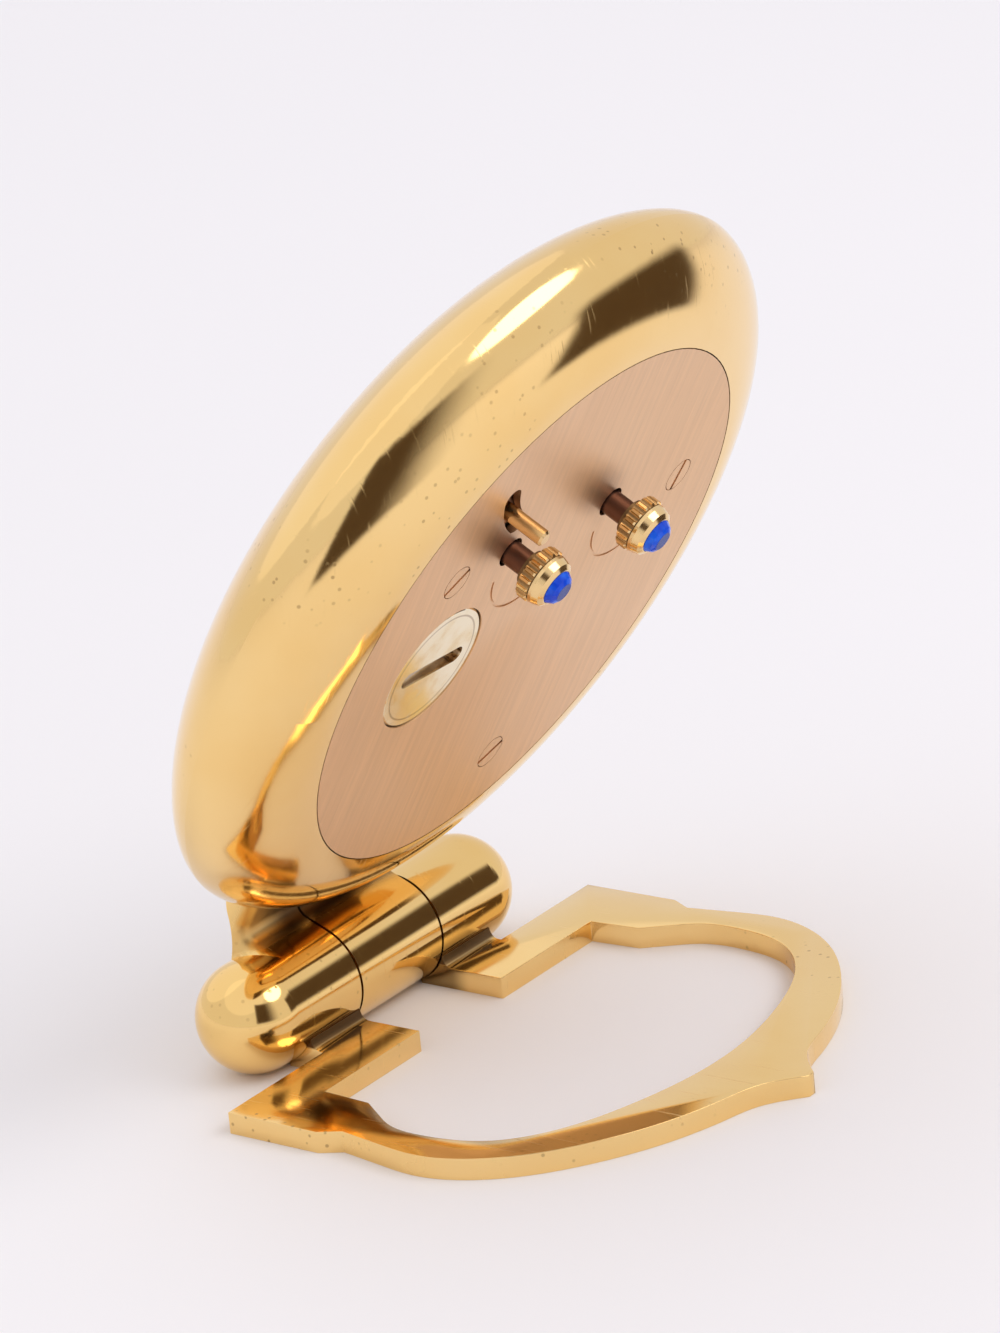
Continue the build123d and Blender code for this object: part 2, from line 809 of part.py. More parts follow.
with BuildPart() as crystal:
    with BuildSketch(turning_plane()):
        with BuildLine():
            Line((0, -crystal_dome_inside), (0, -crystal_dome))
            Spline(
                (0, -crystal_dome),
                (crystal_neck / 2, -crystal_dome + (crystal_dome + crystal_neck_front) / 4),
                (crystal_neck, crystal_neck_front),
                tangents=[(1, 0), (1, 0.145)],
            )
            Polyline(
                (crystal_neck, crystal_neck_front),
                (crystal_neck, glass_seat_out),
                (crystal_flange, glass_seat_out),
                (crystal_flange, crystal_flange_back),
                (crystal_bore, crystal_flange_back),
            )
            Spline(
                (crystal_bore, crystal_flange_back),
                (crystal_bore - 3.0, -6.75),
                (crystal_bore / 2, -7.95),
                (0, -crystal_dome_inside),
                tangents=[(-1, -0.6), (-1, 0)],
            )
        make_face()
    revolve(axis=turning_axis())

crystal.part.label = "crystal"
export_step(crystal.part, "parts/crystal.step")

gasket_bore = glass_opening - 0.6

with BuildPart() as crystal_gasket:
    disc(crystal_flange, crystal_flange_back, crystal_flange_back + gasket_height)
    disc(gasket_bore, crystal_flange_back - 1, crystal_flange_back + 1, mode=Mode.SUBTRACT)

crystal_gasket.part.label = "crystal_gasket"
export_step(crystal_gasket.part, "parts/crystal_gasket.step")

rehaut_front = crystal_flange_back + gasket_height
rehaut_front_bore = glass_opening - 1.3
rehaut_bore = glass_opening - 2.2

with BuildPart() as rehaut_ring:
    turn([
        (rehaut_front_bore, rehaut_front),
        (crystal_flange, rehaut_front),
        (crystal_flange, dial_front),
        (rehaut_bore, dial_front),
    ])

rehaut_ring.part.label = "rehaut_ring"
export_step(rehaut_ring.part, "parts/rehaut_ring.step")

dial_hole = 2.1

with BuildPart() as dial:
    disc(crystal_flange, dial_front, ring_front)
    for right, up in dial_foot_spots:
        disc(dial_foot, ring_front, dial_foot_end, right, up)
    disc(dial_hole, dial_front - 1, ring_front + 1, mode=Mode.SUBTRACT)

dial.part.label = "dial"
export_step(dial.part, "parts/dial.step")

marker_outer = rehaut_bore - 0.4
marker_inner = marker_outer - 2.1
marker_width = 0.7
marker_height = 0.25

with BuildPart() as hour_markers:
    for hour in range(12):
        radial_block(30 * hour, marker_inner, marker_outer, marker_width,
                     dial_front - marker_height, dial_front)

hour_markers.part.label = "hour_markers"
export_step(hour_markers.part, "parts/hour_markers.step")


# Quartz drive: circuit board, coil and stator on two posts
board_thickness = 0.6
board_low = -21.0
board_high = -9.5
board_radius = bridge_radius - 1.3
board_over = main_plate_back + board_thickness

with BuildPart() as circuit_board:
    disc(board_radius, main_plate_back, board_over)
    with BuildSketch(flat_plane(main_plate_back, 0, (board_low + board_high) / 2)) as band:
        Rectangle(3 * board_radius, board_high - board_low)
    extrude(band.sketch, amount=board_thickness, mode=Mode.INTERSECT)
    disc(pillar_radius + 0.1, main_plate_back - 1, board_over + 1, *screw_spots[2], mode=Mode.SUBTRACT)
    for right, up in post_spots:
        disc(post_foot + 0.05, main_plate_back - 1, board_over + 1, right, up, Mode.SUBTRACT)

circuit_board.part.label = "circuit_board"
export_step(circuit_board.part, "parts/circuit_board.step")

chip_spot = (-4.0, -14.0)
chip_width = 4.0
chip_height = 1.1

with BuildPart() as timing_chip:
    block(*chip_spot, chip_width, chip_width, board_over, board_over + chip_height)

timing_chip.part.label = "timing_chip"
export_step(timing_chip.part, "parts/timing_chip.step")

can_radius = 1.0
can_start = -9.0
can_length = 6.0
can_up = -18.4


def lying_bar(radius, start, length, up, level, mode=Mode.ADD):
    """Round bar that lies along the board, from a start measured to the right."""
    plane = Plane(origin=on_case(start, up, level), x_dir=back_dir, z_dir=(-1, 0, 0))
    with BuildSketch(plane) as section:
        Circle(radius)
    extrude(section.sketch, amount=length, mode=mode)


with BuildPart() as quartz_can:
    lying_bar(can_radius, can_start, can_length, can_up, board_over + can_radius)

quartz_can.part.label = "quartz_can"
export_step(quartz_can.part, "parts/quartz_can.step")

stator_low = 1.3
stator_high = 2.0
core_high = 2.6
coil_up = -15.2
magnet_radius = 1.9
magnet_gap = 0.4

with BuildPart() as stator:
    block(9.35, -4.5, 6.5, 6.2, stator_low, stator_high)
    block(6.5, -11.9, 1.8, 8.6, stator_low, stator_high)
    block(14.3, -4.75, 3.4, 2.5, stator_low, stator_high)
    block(15.1, -9.85, 1.8, 12.7, stator_low, stator_high)
    disc(magnet_radius + magnet_gap, stator_low - 1, stator_high + 1, *rotor_spot, mode=Mode.SUBTRACT)
    for right, up in post_spots:
        disc(post_stud + running, stator_low - 1, stator_high + 1, right, up, Mode.SUBTRACT)

stator.part.label = "stator"
export_step(stator.part, "parts/stator.step")

core_width = 1.6
coil_level = (stator_high + core_high) / 2
coil_start = 8.2
coil_length = 5.2
coil_radius = 1.6
flange_radius = 1.9
flange_width = 0.5

with BuildPart() as coil_core:
    block((post_spots[0][0] + post_spots[1][0]) / 2, coil_up, 10.4, core_width, stator_high, core_high)
    for right, up in post_spots:
        disc(post_stud + running, stator_high - 1, core_high + 1, right, up, Mode.SUBTRACT)

coil_core.part.label = "coil_core"
export_step(coil_core.part, "parts/coil_core.step")


def core_passage(start, length):
    block(start + length / 2, coil_up, length + 1, core_width + 0.02,
          stator_high - 0.01, core_high + 0.01, Mode.SUBTRACT)


with BuildPart() as coil_winding:
    lying_bar(coil_radius, coil_start, coil_length, coil_up, coil_level)
    core_passage(coil_start, coil_length)

coil_winding.part.label = "coil_winding"
export_step(coil_winding.part, "parts/coil_winding.step")

with BuildPart() as coil_bobbin:
    for start in (coil_start - flange_width, coil_start + coil_length):
        lying_bar(flange_radius, start, flange_width, coil_up, coil_level)
    core_passage(coil_start - flange_width, coil_length + 2 * flange_width)

coil_bobbin.part.label = "coil_bobbin"
export_step(coil_bobbin.part, "parts/coil_bobbin.step")

post_head = 1.1
post_head_height = 0.4

with BuildPart() as stator_posts:
    for right, up in post_spots:
        turn([
            (0, main_plate_back),
            (post_foot, main_plate_back),
            (post_foot, stator_low),
            (post_stud, stator_low),
            (post_stud, core_high),
            (post_head, core_high),
            (post_head, core_high + post_head_height),
            (0, core_high + post_head_height),
        ], right, up)

stator_posts.part.label = "stator_posts"
export_step(stator_posts.part, "parts/stator_posts.step")


# Battery: a coin cell in a metal cup, under a hatch that turns a quarter to open
cup_top = plate_front - 0.06
cell_radius = 5.8
cell_low = -0.3
cell_high = 5.1
groove_radius = 6.45
groove_low = 5.05
groove_high = 5.7
lug_outer = 6.35
lug_inner = 5.6
lug_low = 5.15
lug_high = 5.62
lug_sweep = 50
notch_sweep = 58
contact_radius = 4.0
strip_width = 3.0
strip_inner = 5.85
strip_outer = 6.15
strip_high = 4.6


def sector(outer, middle_angle, sweep, low, high, mode=Mode.ADD):
    """Wedge about the hatch axis, as wide as its sweep."""
    half = radians(sweep / 2)
    reach = 1.2 * outer
    middle = radians(middle_angle)
    corners = [(0, 0)]
    for angle in (middle - half, middle, middle + half):
        corners.append((reach * cos(angle), reach * sin(angle)))
    with BuildSketch(flat_plane(low, *hatch_spot)) as section:
        Circle(outer)
        with BuildLine():
            Polyline(*corners, close=True)
        make_face(mode=Mode.INTERSECT)
    extrude(section.sketch, amount=high - low, mode=mode)


lug_angle = 0

with BuildPart() as battery_cup:
    disc(cup_outer, main_plate_back, cup_top, *hatch_spot)
    disc(cup_bore, main_plate_back - 1, cup_top + 1, *hatch_spot, mode=Mode.SUBTRACT)
    disc(groove_radius, groove_low, groove_high, *hatch_spot, mode=Mode.SUBTRACT)
    for angle in (lug_angle + 90, lug_angle + 270):
        sector(groove_radius, angle, notch_sweep, groove_high, cup_top + 0.1, Mode.SUBTRACT)
    strip_middle = hatch_spot[0] + (strip_inner + strip_outer) / 2
    block(strip_middle, hatch_spot[1], strip_outer - strip_inner + 0.04, strip_width + 0.1,
          main_plate_back - 1, strip_high + 0.1, Mode.SUBTRACT)

battery_cup.part.label = "battery_cup"
export_step(battery_cup.part, "parts/battery_cup.step")

with BuildPart() as battery_cell:
    disc(cell_radius, cell_low, cell_high - 0.6, *hatch_spot)
    disc(cell_radius - 0.5, cell_high - 0.6, cell_high, *hatch_spot)

battery_cell.part.label = "battery_cell"
export_step(battery_cell.part, "parts/battery_cell.step")

with BuildPart() as negative_contact:
    disc(contact_radius, main_plate_back, cell_low, *hatch_spot)

negative_contact.part.label = "negative_contact"
export_step(negative_contact.part, "parts/negative_contact.step")

with BuildPart() as positive_contact:
    block(strip_middle, hatch_spot[1], strip_outer - strip_inner, strip_width, main_plate_back, strip_high)

positive_contact.part.label = "positive_contact"
export_step(positive_contact.part, "parts/positive_contact.step")

hatch_high = back_rise - hatch_recess
coin_slot_length = 9.0
coin_slot_width = 1.7
coin_slot_depth = 0.45
coin_slot_turn = 3
hub_outer = cup_bore - 0.1
hub_bore = 4.6
hatch_low = plate_front - 0.06

with BuildPart() as battery_hatch:
    disc(hatch_radius, hatch_low, hatch_high, *hatch_spot)
    chamfer(battery_hatch.faces().sort_by(Axis(case_centre, back_dir))[-1].edges(), length=0.12)
    disc(hub_outer, lug_low, hatch_low, *hatch_spot)
    for angle in (lug_angle, lug_angle + 180):
        sector(lug_outer, angle, lug_sweep, lug_low, lug_high)
    disc(hub_bore, lug_low - 1, hatch_low, *hatch_spot, mode=Mode.SUBTRACT)
    with BuildSketch(flat_plane(hatch_high - coin_slot_depth, *hatch_spot).rotated((0, 0, coin_slot_turn))):
        SlotOverall(coin_slot_length, coin_slot_width)
    extrude(amount=1, mode=Mode.SUBTRACT)

battery_hatch.part.label = "battery_hatch"
export_step(battery_hatch.part, "parts/battery_hatch.step")

piezo_thickness = 0.25

with BuildPart() as piezo_disc:
    disc(piezo_radius, bridge_over + piezo_lift, bridge_over + piezo_lift + piezo_thickness, *piezo_spot)

piezo_disc.part.label = "piezo_disc"
export_step(piezo_disc.part, "parts/piezo_disc.step")

with BuildPart() as alarm_contact:
    block(-8.5, 13.4, 1.2, 3.4, bridge_over, bridge_over + piezo_lift)

alarm_contact.part.label = "alarm_contact"
export_step(alarm_contact.part, "parts/alarm_contact.step")


# Alarm switch: a lever under the plate, with the pin that comes through its slot
lever_low = 5.4
lever_high = 5.85
lever_boss = 1.6
lever_width = 2.6
shutter_sweep = 12.0
pin_tenon = 0.35
pin_angle = radians(pin_rest_angle)
pin_spot = (lever_right + lever_arm * cos(pin_angle), lever_up + lever_arm * sin(pin_angle))

with BuildPart() as alarm_lever:
    disc(lever_boss, lever_low, lever_high, lever_right, lever_up)
    disc(lever_width / 2, lever_low, lever_high, *pin_spot)
    block((lever_right + pin_spot[0]) / 2, (lever_up + pin_spot[1]) / 2, lever_arm, lever_width,
          lever_low, lever_high, turned=pin_rest_angle)
    with BuildSketch(flat_plane(lever_low, lever_right, lever_up)) as shutter:
        with BuildLine():
            CenterArc((0, 0), lever_arm, pin_rest_angle, shutter_sweep)
        trace(line_width=lever_width)
        angle = radians(pin_rest_angle + shutter_sweep)
        with Locations((lever_arm * cos(angle), lever_arm * sin(angle))):
            Circle(lever_width / 2)
    extrude(shutter.sketch, amount=lever_high - lever_low)
    disc(lever_stud + 0.05, lever_low - 1, lever_high + 1, lever_right, lever_up, Mode.SUBTRACT)
    disc(pin_tenon + 0.02, lever_low - 1, lever_high + 1, *pin_spot, mode=Mode.SUBTRACT)

alarm_lever.part.label = "alarm_lever"
export_step(alarm_lever.part, "parts/alarm_lever.step")

pin_top = back_rise + alarm_pin_height

with BuildPart() as alarm_pin:
    turn([
        (0, lever_low),
        (pin_tenon, lever_low),
        (pin_tenon, lever_high),
        (alarm_pin_radius, lever_high),
        (alarm_pin_radius, pin_top - 0.2),
        (alarm_pin_radius - 0.2, pin_top),
        (0, pin_top),
    ], *pin_spot)

alarm_pin.part.label = "alarm_pin"
export_step(alarm_pin.part, "parts/alarm_pin.step")


# Setting knobs: stem with its pinion, fluted knob and cabochon, twice
stem_cover = 0.59
stem_collar = (5.25, 5.75)
collar_radius = 1.35
stem_outer = 1.2
knob_hub = 1.7
knob_low = back_rise + knob_ring_start - 0.54
ring_low = back_rise + knob_ring_start
ring_high = ring_low + knob_ring_height
head_low = ring_high + groove_width
knob_high = ring_high + knob_head_height
ring_edge = 0.15
groove_bottom = 2.34
head_profile = [(2.5, 0.0), (2.46, 0.25), (2.25, 0.75), (1.85, 1.0)]
flute_radius = 0.34
cabochon_seat = 0.25
stem_end = knob_high - cabochon_seat - stem_cover
knob_bore_end = stem_end + 0.1


def stem(right, up):
    turn([
        (0, pivot_low),
        (stem_pivot, pivot_low),
        (stem_pivot, main_plate_back),
        (stem_radius, main_plate_back),
        (stem_radius, stem_collar[0]),
        (collar_radius, stem_collar[0]),
        (collar_radius, stem_collar[1]),
        (stem_outer, stem_collar[1]),
        (stem_outer, stem_end),
        (0, stem_end),
    ], right, up)


def knob(right, up):
    turn([
        (0, knob_low),
        (knob_hub, knob_low),
        (knob_hub, ring_low),
        (knob_ring_radius - ring_edge, ring_low),
        (knob_ring_radius, ring_low + ring_edge),
        (knob_ring_radius, ring_high - ring_edge),
        (knob_ring_radius - ring_edge, ring_high),
        (groove_bottom, ring_high),
        (groove_bottom, head_low),
        *[(radius, head_low + share * (knob_high - head_low)) for radius, share in head_profile],
        (0, knob_high),
    ], right, up)
    with BuildSketch(flat_plane(ring_low - 0.1, right, up)) as flutes:
        with PolarLocations(knob_ring_radius + 0.05, knob_flutes):
            Circle(flute_radius)
    extrude(flutes.sketch, amount=knob_ring_height + 0.2, mode=Mode.SUBTRACT)
    disc(stem_outer + 0.02, knob_low - 1, knob_bore_end, right, up, Mode.SUBTRACT)
    disc(cabochon_radius + 0.02, knob_high - cabochon_seat, knob_high + 1, right, up, Mode.SUBTRACT)


def cabochon(right, up):
    dome = (cabochon_radius ** 2 + cabochon_rise ** 2) / (2 * cabochon_rise)
    half = (cabochon_radius / 2, knob_high + cabochon_rise - dome + sqrt(dome ** 2 - cabochon_radius ** 2 / 4))
    with BuildSketch(turning_plane(right, up)) as section:
        with BuildLine():
            ThreePointArc((0, knob_high + cabochon_rise), half, (cabochon_radius, knob_high))
            Polyline(
                (cabochon_radius, knob_high),
                (cabochon_radius, knob_high - cabochon_seat),
                (0, knob_high - cabochon_seat),
                (0, knob_high + cabochon_rise),
            )
        make_face()
    revolve(section.sketch, axis=turning_axis(right, up))


idler_phase = meshed(0, alarm_teeth, idler_teeth, bearing_to(centre, idler_spot))
alarm_stem_phase = meshed(idler_phase, idler_teeth, knob_teeth_alarm, bearing_to(idler_spot, alarm_spot))
motion_phase = meshed(0, cannon_teeth, motion_teeth, bearing_to(centre, motion_spot))
time_stem_phase = meshed(motion_phase, motion_teeth, knob_teeth_time, bearing_to(motion_spot, time_spot))
motion_pinion_phase = meshed(0, hour_teeth, motion_pinion_teeth, bearing_to(centre, motion_spot))
third_pinion_phase = meshed(0, seconds_teeth, third_pinion_teeth, bearing_to(centre, third_spot))
rotor_phase = meshed(0, third_teeth, rotor_teeth, bearing_to(third_spot, rotor_spot))
step_phase = meshed(0, seconds_pinion_teeth, step_teeth, bearing_to(centre, step_spot))
clutch_phase = meshed(0, step_pinion_teeth, clutch_teeth, bearing_to(step_spot, centre))

with BuildPart() as alarm_stem:
    stem(*alarm_spot)
    gear(knob_teeth_alarm, set_module, alarm_stem_phase, alarm_layer, *alarm_spot)

alarm_stem.part.label = "alarm_stem"
export_step(alarm_stem.part, "parts/alarm_stem.step")

with BuildPart() as alarm_knob:
    knob(*alarm_spot)

alarm_knob.part.label = "alarm_knob"
export_step(alarm_knob.part, "parts/alarm_knob.step")

with BuildPart() as alarm_cabochon:
    cabochon(*alarm_spot)

alarm_cabochon.part.label = "alarm_cabochon"
export_step(alarm_cabochon.part, "parts/alarm_cabochon.step")

with BuildPart() as time_stem:
    stem(*time_spot)
    gear(knob_teeth_time, set_module, time_stem_phase, minute_layer, *time_spot)

time_stem.part.label = "time_stem"
export_step(time_stem.part, "parts/time_stem.step")

with BuildPart() as time_knob:
    knob(*time_spot)

time_knob.part.label = "time_knob"
export_step(time_knob.part, "parts/time_knob.step")

with BuildPart() as time_cabochon:
    cabochon(*time_spot)

time_cabochon.part.label = "time_cabochon"
export_step(time_cabochon.part, "parts/time_cabochon.step")


# Hands, one above the other in front of the dial
alarm_hand_back = -2.85
hour_hand_back = -3.45
minute_hand_back = -4.05
seconds_hand_back = -4.65
hand_thickness = 0.2
seconds_hand_thickness = 0.15
hand_press = 0.02
shown_hour = 304.5
shown_minute = 54.0
shown_second = 210.0
shown_alarm = 195.0


minute_hand_length = marker_inner - 2.0
seconds_hand_length = marker_inner - 1.0
hour_hand_length = marker_inner - 8.5
alarm_hand_length = marker_inner - 9.5


def hand(back, thickness, angle, length, width, tail, hub, bore):
    """Tapered hand with a round hub; its angle is read clockwise on the dial."""
    bearing = -radians(angle)
    ahead = Vector(-1, 0, 0) * sin(bearing) + up_dir * cos(bearing)
    plane = Plane(origin=on_case(0, 0, back), x_dir=ahead, z_dir=-back_dir)
    with BuildSketch(plane) as section:
        Circle(hub)
        with BuildLine():
            Polyline(
                (-tail, -width / 4),
                (0.45 * length, -width / 2),
                (length, -0.08),
                (length, 0.08),
                (0.45 * length, width / 2),
                (-tail, width / 4),
                close=True,
            )
        make_face()
        Circle(bore, mode=Mode.SUBTRACT)
    extrude(section.sketch, amount=thickness)


with BuildPart() as alarm_hand:
    hand(alarm_hand_back, hand_thickness, shown_alarm, alarm_hand_length, 0.7, 0, 2.2, alarm_pipe + hand_press)

alarm_hand.part.label = "alarm_hand"
export_step(alarm_hand.part, "parts/alarm_hand.step")

with BuildPart() as hour_hand:
    hand(hour_hand_back, hand_thickness, shown_hour, hour_hand_length, 1.9, 0, 1.8, hour_pipe + hand_press)

hour_hand.part.label = "hour_hand"
export_step(hour_hand.part, "parts/hour_hand.step")

with BuildPart() as minute_hand:
    hand(minute_hand_back, hand_thickness, shown_minute, minute_hand_length, 1.5, 0, 1.4, minute_pipe + hand_press)

minute_hand.part.label = "minute_hand"
export_step(minute_hand.part, "parts/minute_hand.step")

with BuildPart() as seconds_hand:
    hand(seconds_hand_back, seconds_hand_thickness, shown_second, seconds_hand_length, 0.4, 5.0, 0.9, seconds_arbor + hand_press)

seconds_hand.part.label = "seconds_hand"
export_step(seconds_hand.part, "parts/seconds_hand.step")


# Wheels on their arbors and pipes
tube_top = 2.5
minute_tube_bore = seconds_arbor + pipe_slack
hour_pipe_bore = minute_pipe + pipe_slack
alarm_pipe_bore = hour_pipe + pipe_slack


with BuildPart() as alarm_wheel:
    gear(alarm_teeth, set_module, 0, alarm_layer)
    disc(alarm_pipe, alarm_hand_back - hand_thickness, alarm_layer[1])
    disc(alarm_pipe_bore, -9, 9, mode=Mode.SUBTRACT)

alarm_wheel.part.label = "alarm_wheel"
export_step(alarm_wheel.part, "parts/alarm_wheel.step")

with BuildPart() as alarm_idler:
    gear(idler_teeth, set_module, idler_phase, alarm_layer, *idler_spot)
    disc(idler_arbor, pivot_low, pivot_high, *idler_spot)

alarm_idler.part.label = "alarm_idler"
export_step(alarm_idler.part, "parts/alarm_idler.step")

with BuildPart() as hour_wheel:
    gear(hour_teeth, hour_module, 0, hour_layer)
    disc(hour_pipe, hour_hand_back - hand_thickness, hour_layer[1])
    disc(hour_pipe_bore, -9, 9, mode=Mode.SUBTRACT)

hour_wheel.part.label = "hour_wheel"
export_step(hour_wheel.part, "parts/hour_wheel.step")

with BuildPart() as motion_wheel:
    gear(motion_teeth, set_module, motion_phase, minute_layer, *motion_spot)
    gear(motion_pinion_teeth, hour_module, motion_pinion_phase, (hour_layer[0] - 0.1, minute_layer[0]), *motion_spot)
    disc(motion_arbor, pivot_low, pivot_high, *motion_spot)

motion_wheel.part.label = "motion_wheel"
export_step(motion_wheel.part, "parts/motion_wheel.step")

with BuildPart() as minute_arbor:
    gear(cannon_teeth, set_module, 0, minute_layer)
    disc(minute_pipe, minute_hand_back - hand_thickness, tube_top)
    disc(minute_tube_bore, -9, 9, mode=Mode.SUBTRACT)

minute_arbor.part.label = "minute_arbor"
export_step(minute_arbor.part, "parts/minute_arbor.step")

with BuildPart() as clutch_wheel:
    gear(clutch_teeth, clutch_module, clutch_phase, clutch_layer)
    disc(hour_pipe_bore, -9, 9, mode=Mode.SUBTRACT)

clutch_wheel.part.label = "clutch_wheel"
export_step(clutch_wheel.part, "parts/clutch_wheel.step")

with BuildPart() as step_wheel:
    gear(step_teeth, fine_module, step_phase, step_layer, *step_spot)
    gear(step_pinion_teeth, clutch_module, 0, (clutch_layer[0] - 0.05, step_layer[0]), *step_spot)
    disc(arbor, pivot_low, pivot_high, *step_spot)

step_wheel.part.label = "step_wheel"
export_step(step_wheel.part, "parts/step_wheel.step")

seconds_top = 4.9

with BuildPart() as seconds_wheel:
    gear(seconds_teeth, seconds_module, 0, seconds_layer)
    gear(seconds_pinion_teeth, fine_module, 0, (step_layer[0] - 0.05, seconds_layer[0]))
    disc(seconds_arbor, seconds_hand_back - seconds_hand_thickness, seconds_top)

seconds_wheel.part.label = "seconds_wheel"
export_step(seconds_wheel.part, "parts/seconds_wheel.step")

with BuildPart() as third_wheel:
    gear(third_teeth, rotor_module, 0, third_layer, *third_spot)
    gear(third_pinion_teeth, seconds_module, third_pinion_phase, (seconds_layer[0] - 0.05, third_layer[0]), *third_spot)
    disc(arbor, pivot_low, pivot_high, *third_spot)

third_wheel.part.label = "third_wheel"
export_step(third_wheel.part, "parts/third_wheel.step")

magnet_layer = (0.8, 3.3)
rotor_pinion_layer = (3.7, 4.1)

with BuildPart() as rotor:
    disc(magnet_radius, *magnet_layer, *rotor_spot)
    gear(rotor_teeth, rotor_module, rotor_phase, rotor_pinion_layer, *rotor_spot)
    disc(rotor_arbor, pivot_low, pivot_high, *rotor_spot)

rotor.part.label = "rotor"
export_step(rotor.part, "parts/rotor.step")
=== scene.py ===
# %% [markdown]
# # A gilt travel clock, seen from behind
# The clock is a pebble-shaped gilt case that leans back on a hinge barrel, over a flat
# openwork foot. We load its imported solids, which already stand where they belong, and give
# each one the metal, glass or lacquer that it has on the real clock. A few pieces whose
# small shapes carry the look, such as the blue stones, are modelled again in more detail.

# %% Load the clock
import bpy
import bmesh
import json
import math
from mathutils import Matrix, Vector


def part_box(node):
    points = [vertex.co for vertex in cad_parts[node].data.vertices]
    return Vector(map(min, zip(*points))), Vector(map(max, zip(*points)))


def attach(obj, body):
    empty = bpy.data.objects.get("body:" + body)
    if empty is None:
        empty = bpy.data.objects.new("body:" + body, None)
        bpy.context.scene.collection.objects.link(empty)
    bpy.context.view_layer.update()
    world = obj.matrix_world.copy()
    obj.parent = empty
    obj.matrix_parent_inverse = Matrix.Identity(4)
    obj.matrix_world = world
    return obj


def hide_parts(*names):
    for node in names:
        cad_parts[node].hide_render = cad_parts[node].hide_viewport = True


mm = 1000  # millimetres in a metre

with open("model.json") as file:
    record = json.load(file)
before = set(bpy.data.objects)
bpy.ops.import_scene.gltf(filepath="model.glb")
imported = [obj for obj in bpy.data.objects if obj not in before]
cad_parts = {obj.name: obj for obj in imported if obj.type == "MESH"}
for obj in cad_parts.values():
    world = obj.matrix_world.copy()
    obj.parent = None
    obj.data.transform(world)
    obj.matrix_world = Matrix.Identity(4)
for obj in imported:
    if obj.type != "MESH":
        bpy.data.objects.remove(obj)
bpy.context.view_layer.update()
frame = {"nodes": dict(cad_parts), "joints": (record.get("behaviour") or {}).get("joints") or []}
nodes = frame["nodes"]

# %% [markdown]
# ## The leaning frame
# The case leans back by 29.8 degrees, so nothing on it lies along the world's axes. Two
# directions describe it: one up along the back plate and one out of it. The joints of the
# packed clock give the axis of each knob, so nothing has to be measured twice.

# %% Directions and centres of the case
joints = {joint["name"]: joint for joint in frame["joints"]}
out_dir = Vector(joints["minute_hand_turn"]["axis"]).normalized()
across = Vector((1, 0, 0))
up_dir = Vector((0, -out_dir.z, out_dir.y))
case_centre = Vector(joints["minute_hand_turn"]["pos_m"])
knob_spots = {
    "alarm": Vector(joints["alarm_knob_turn"]["pos_m"]),
    "time": Vector(joints["time_knob_turn"]["pos_m"]),
}
hatch_spot = Vector(joints["hatch_turn"]["pos_m"])
lean = math.atan2(-out_dir.z, out_dir.y)
print("lean in degrees:", round(math.degrees(lean), 2))


def level(node, edge=max):
    """How far out of the case a node reaches, from the case's widest plane."""
    mesh = nodes[node].data
    return edge((v.co - case_centre).dot(out_dir) for v in mesh.vertices)


def width(node):
    """Width of a node from one side of the clock to the other."""
    low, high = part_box(node)
    return high[0] - low[0]


# %% [markdown]
# ## Shader maths in plain Python
# Wear, brushing and speckles are arithmetic on noise. Wiring a Math node for each step is
# slow to read, so a small class wraps a socket and turns +, -, *, powers and comparisons
# into those nodes.

# %% A value in a finish
class Value:
    """A number or colour that varies over a surface."""

    def __init__(self, finish, socket):
        self.finish = finish
        self.socket = socket

    def maths(self, operation, *others, turned=False):
        inputs = [self, *others]
        if turned:
            inputs.reverse()
        return self.finish.node(
            "ShaderNodeMath", {"operation": operation}, dict(enumerate(inputs))
        )

    def __add__(self, other):
        return self.maths("ADD", other)

    def __sub__(self, other):
        return self.maths("SUBTRACT", other)

    def __rsub__(self, other):
        return self.maths("SUBTRACT", other, turned=True)

    def __mul__(self, other):
        return self.maths("MULTIPLY", other)

    def __pow__(self, other):
        return self.maths("POWER", other)

    def __gt__(self, other):
        return self.maths("GREATER_THAN", other)

    def __lt__(self, other):
        return self.maths("LESS_THAN", other)

    __radd__ = __add__
    __rmul__ = __mul__

    def least(self, other):
        return self.maths("MINIMUM", other)

    def most(self, other):
        return self.maths("MAXIMUM", other)

    def ramp(self, low, high):
        """0 at low, 1 at high, and smooth between them."""
        return self.finish.node(
            "ShaderNodeMapRange",
            {"interpolation_type": "SMOOTHSTEP"},
            {"Value": self, "From Min": low, "From Max": high},
        )


# %% [markdown]
# ## A finish
# Every finish starts from one Principled shader. Numbers that are the same all over are set
# on its sockets. Only what changes over the surface comes through links. One method adds
# any kind of node, with its settings first and its sockets after.

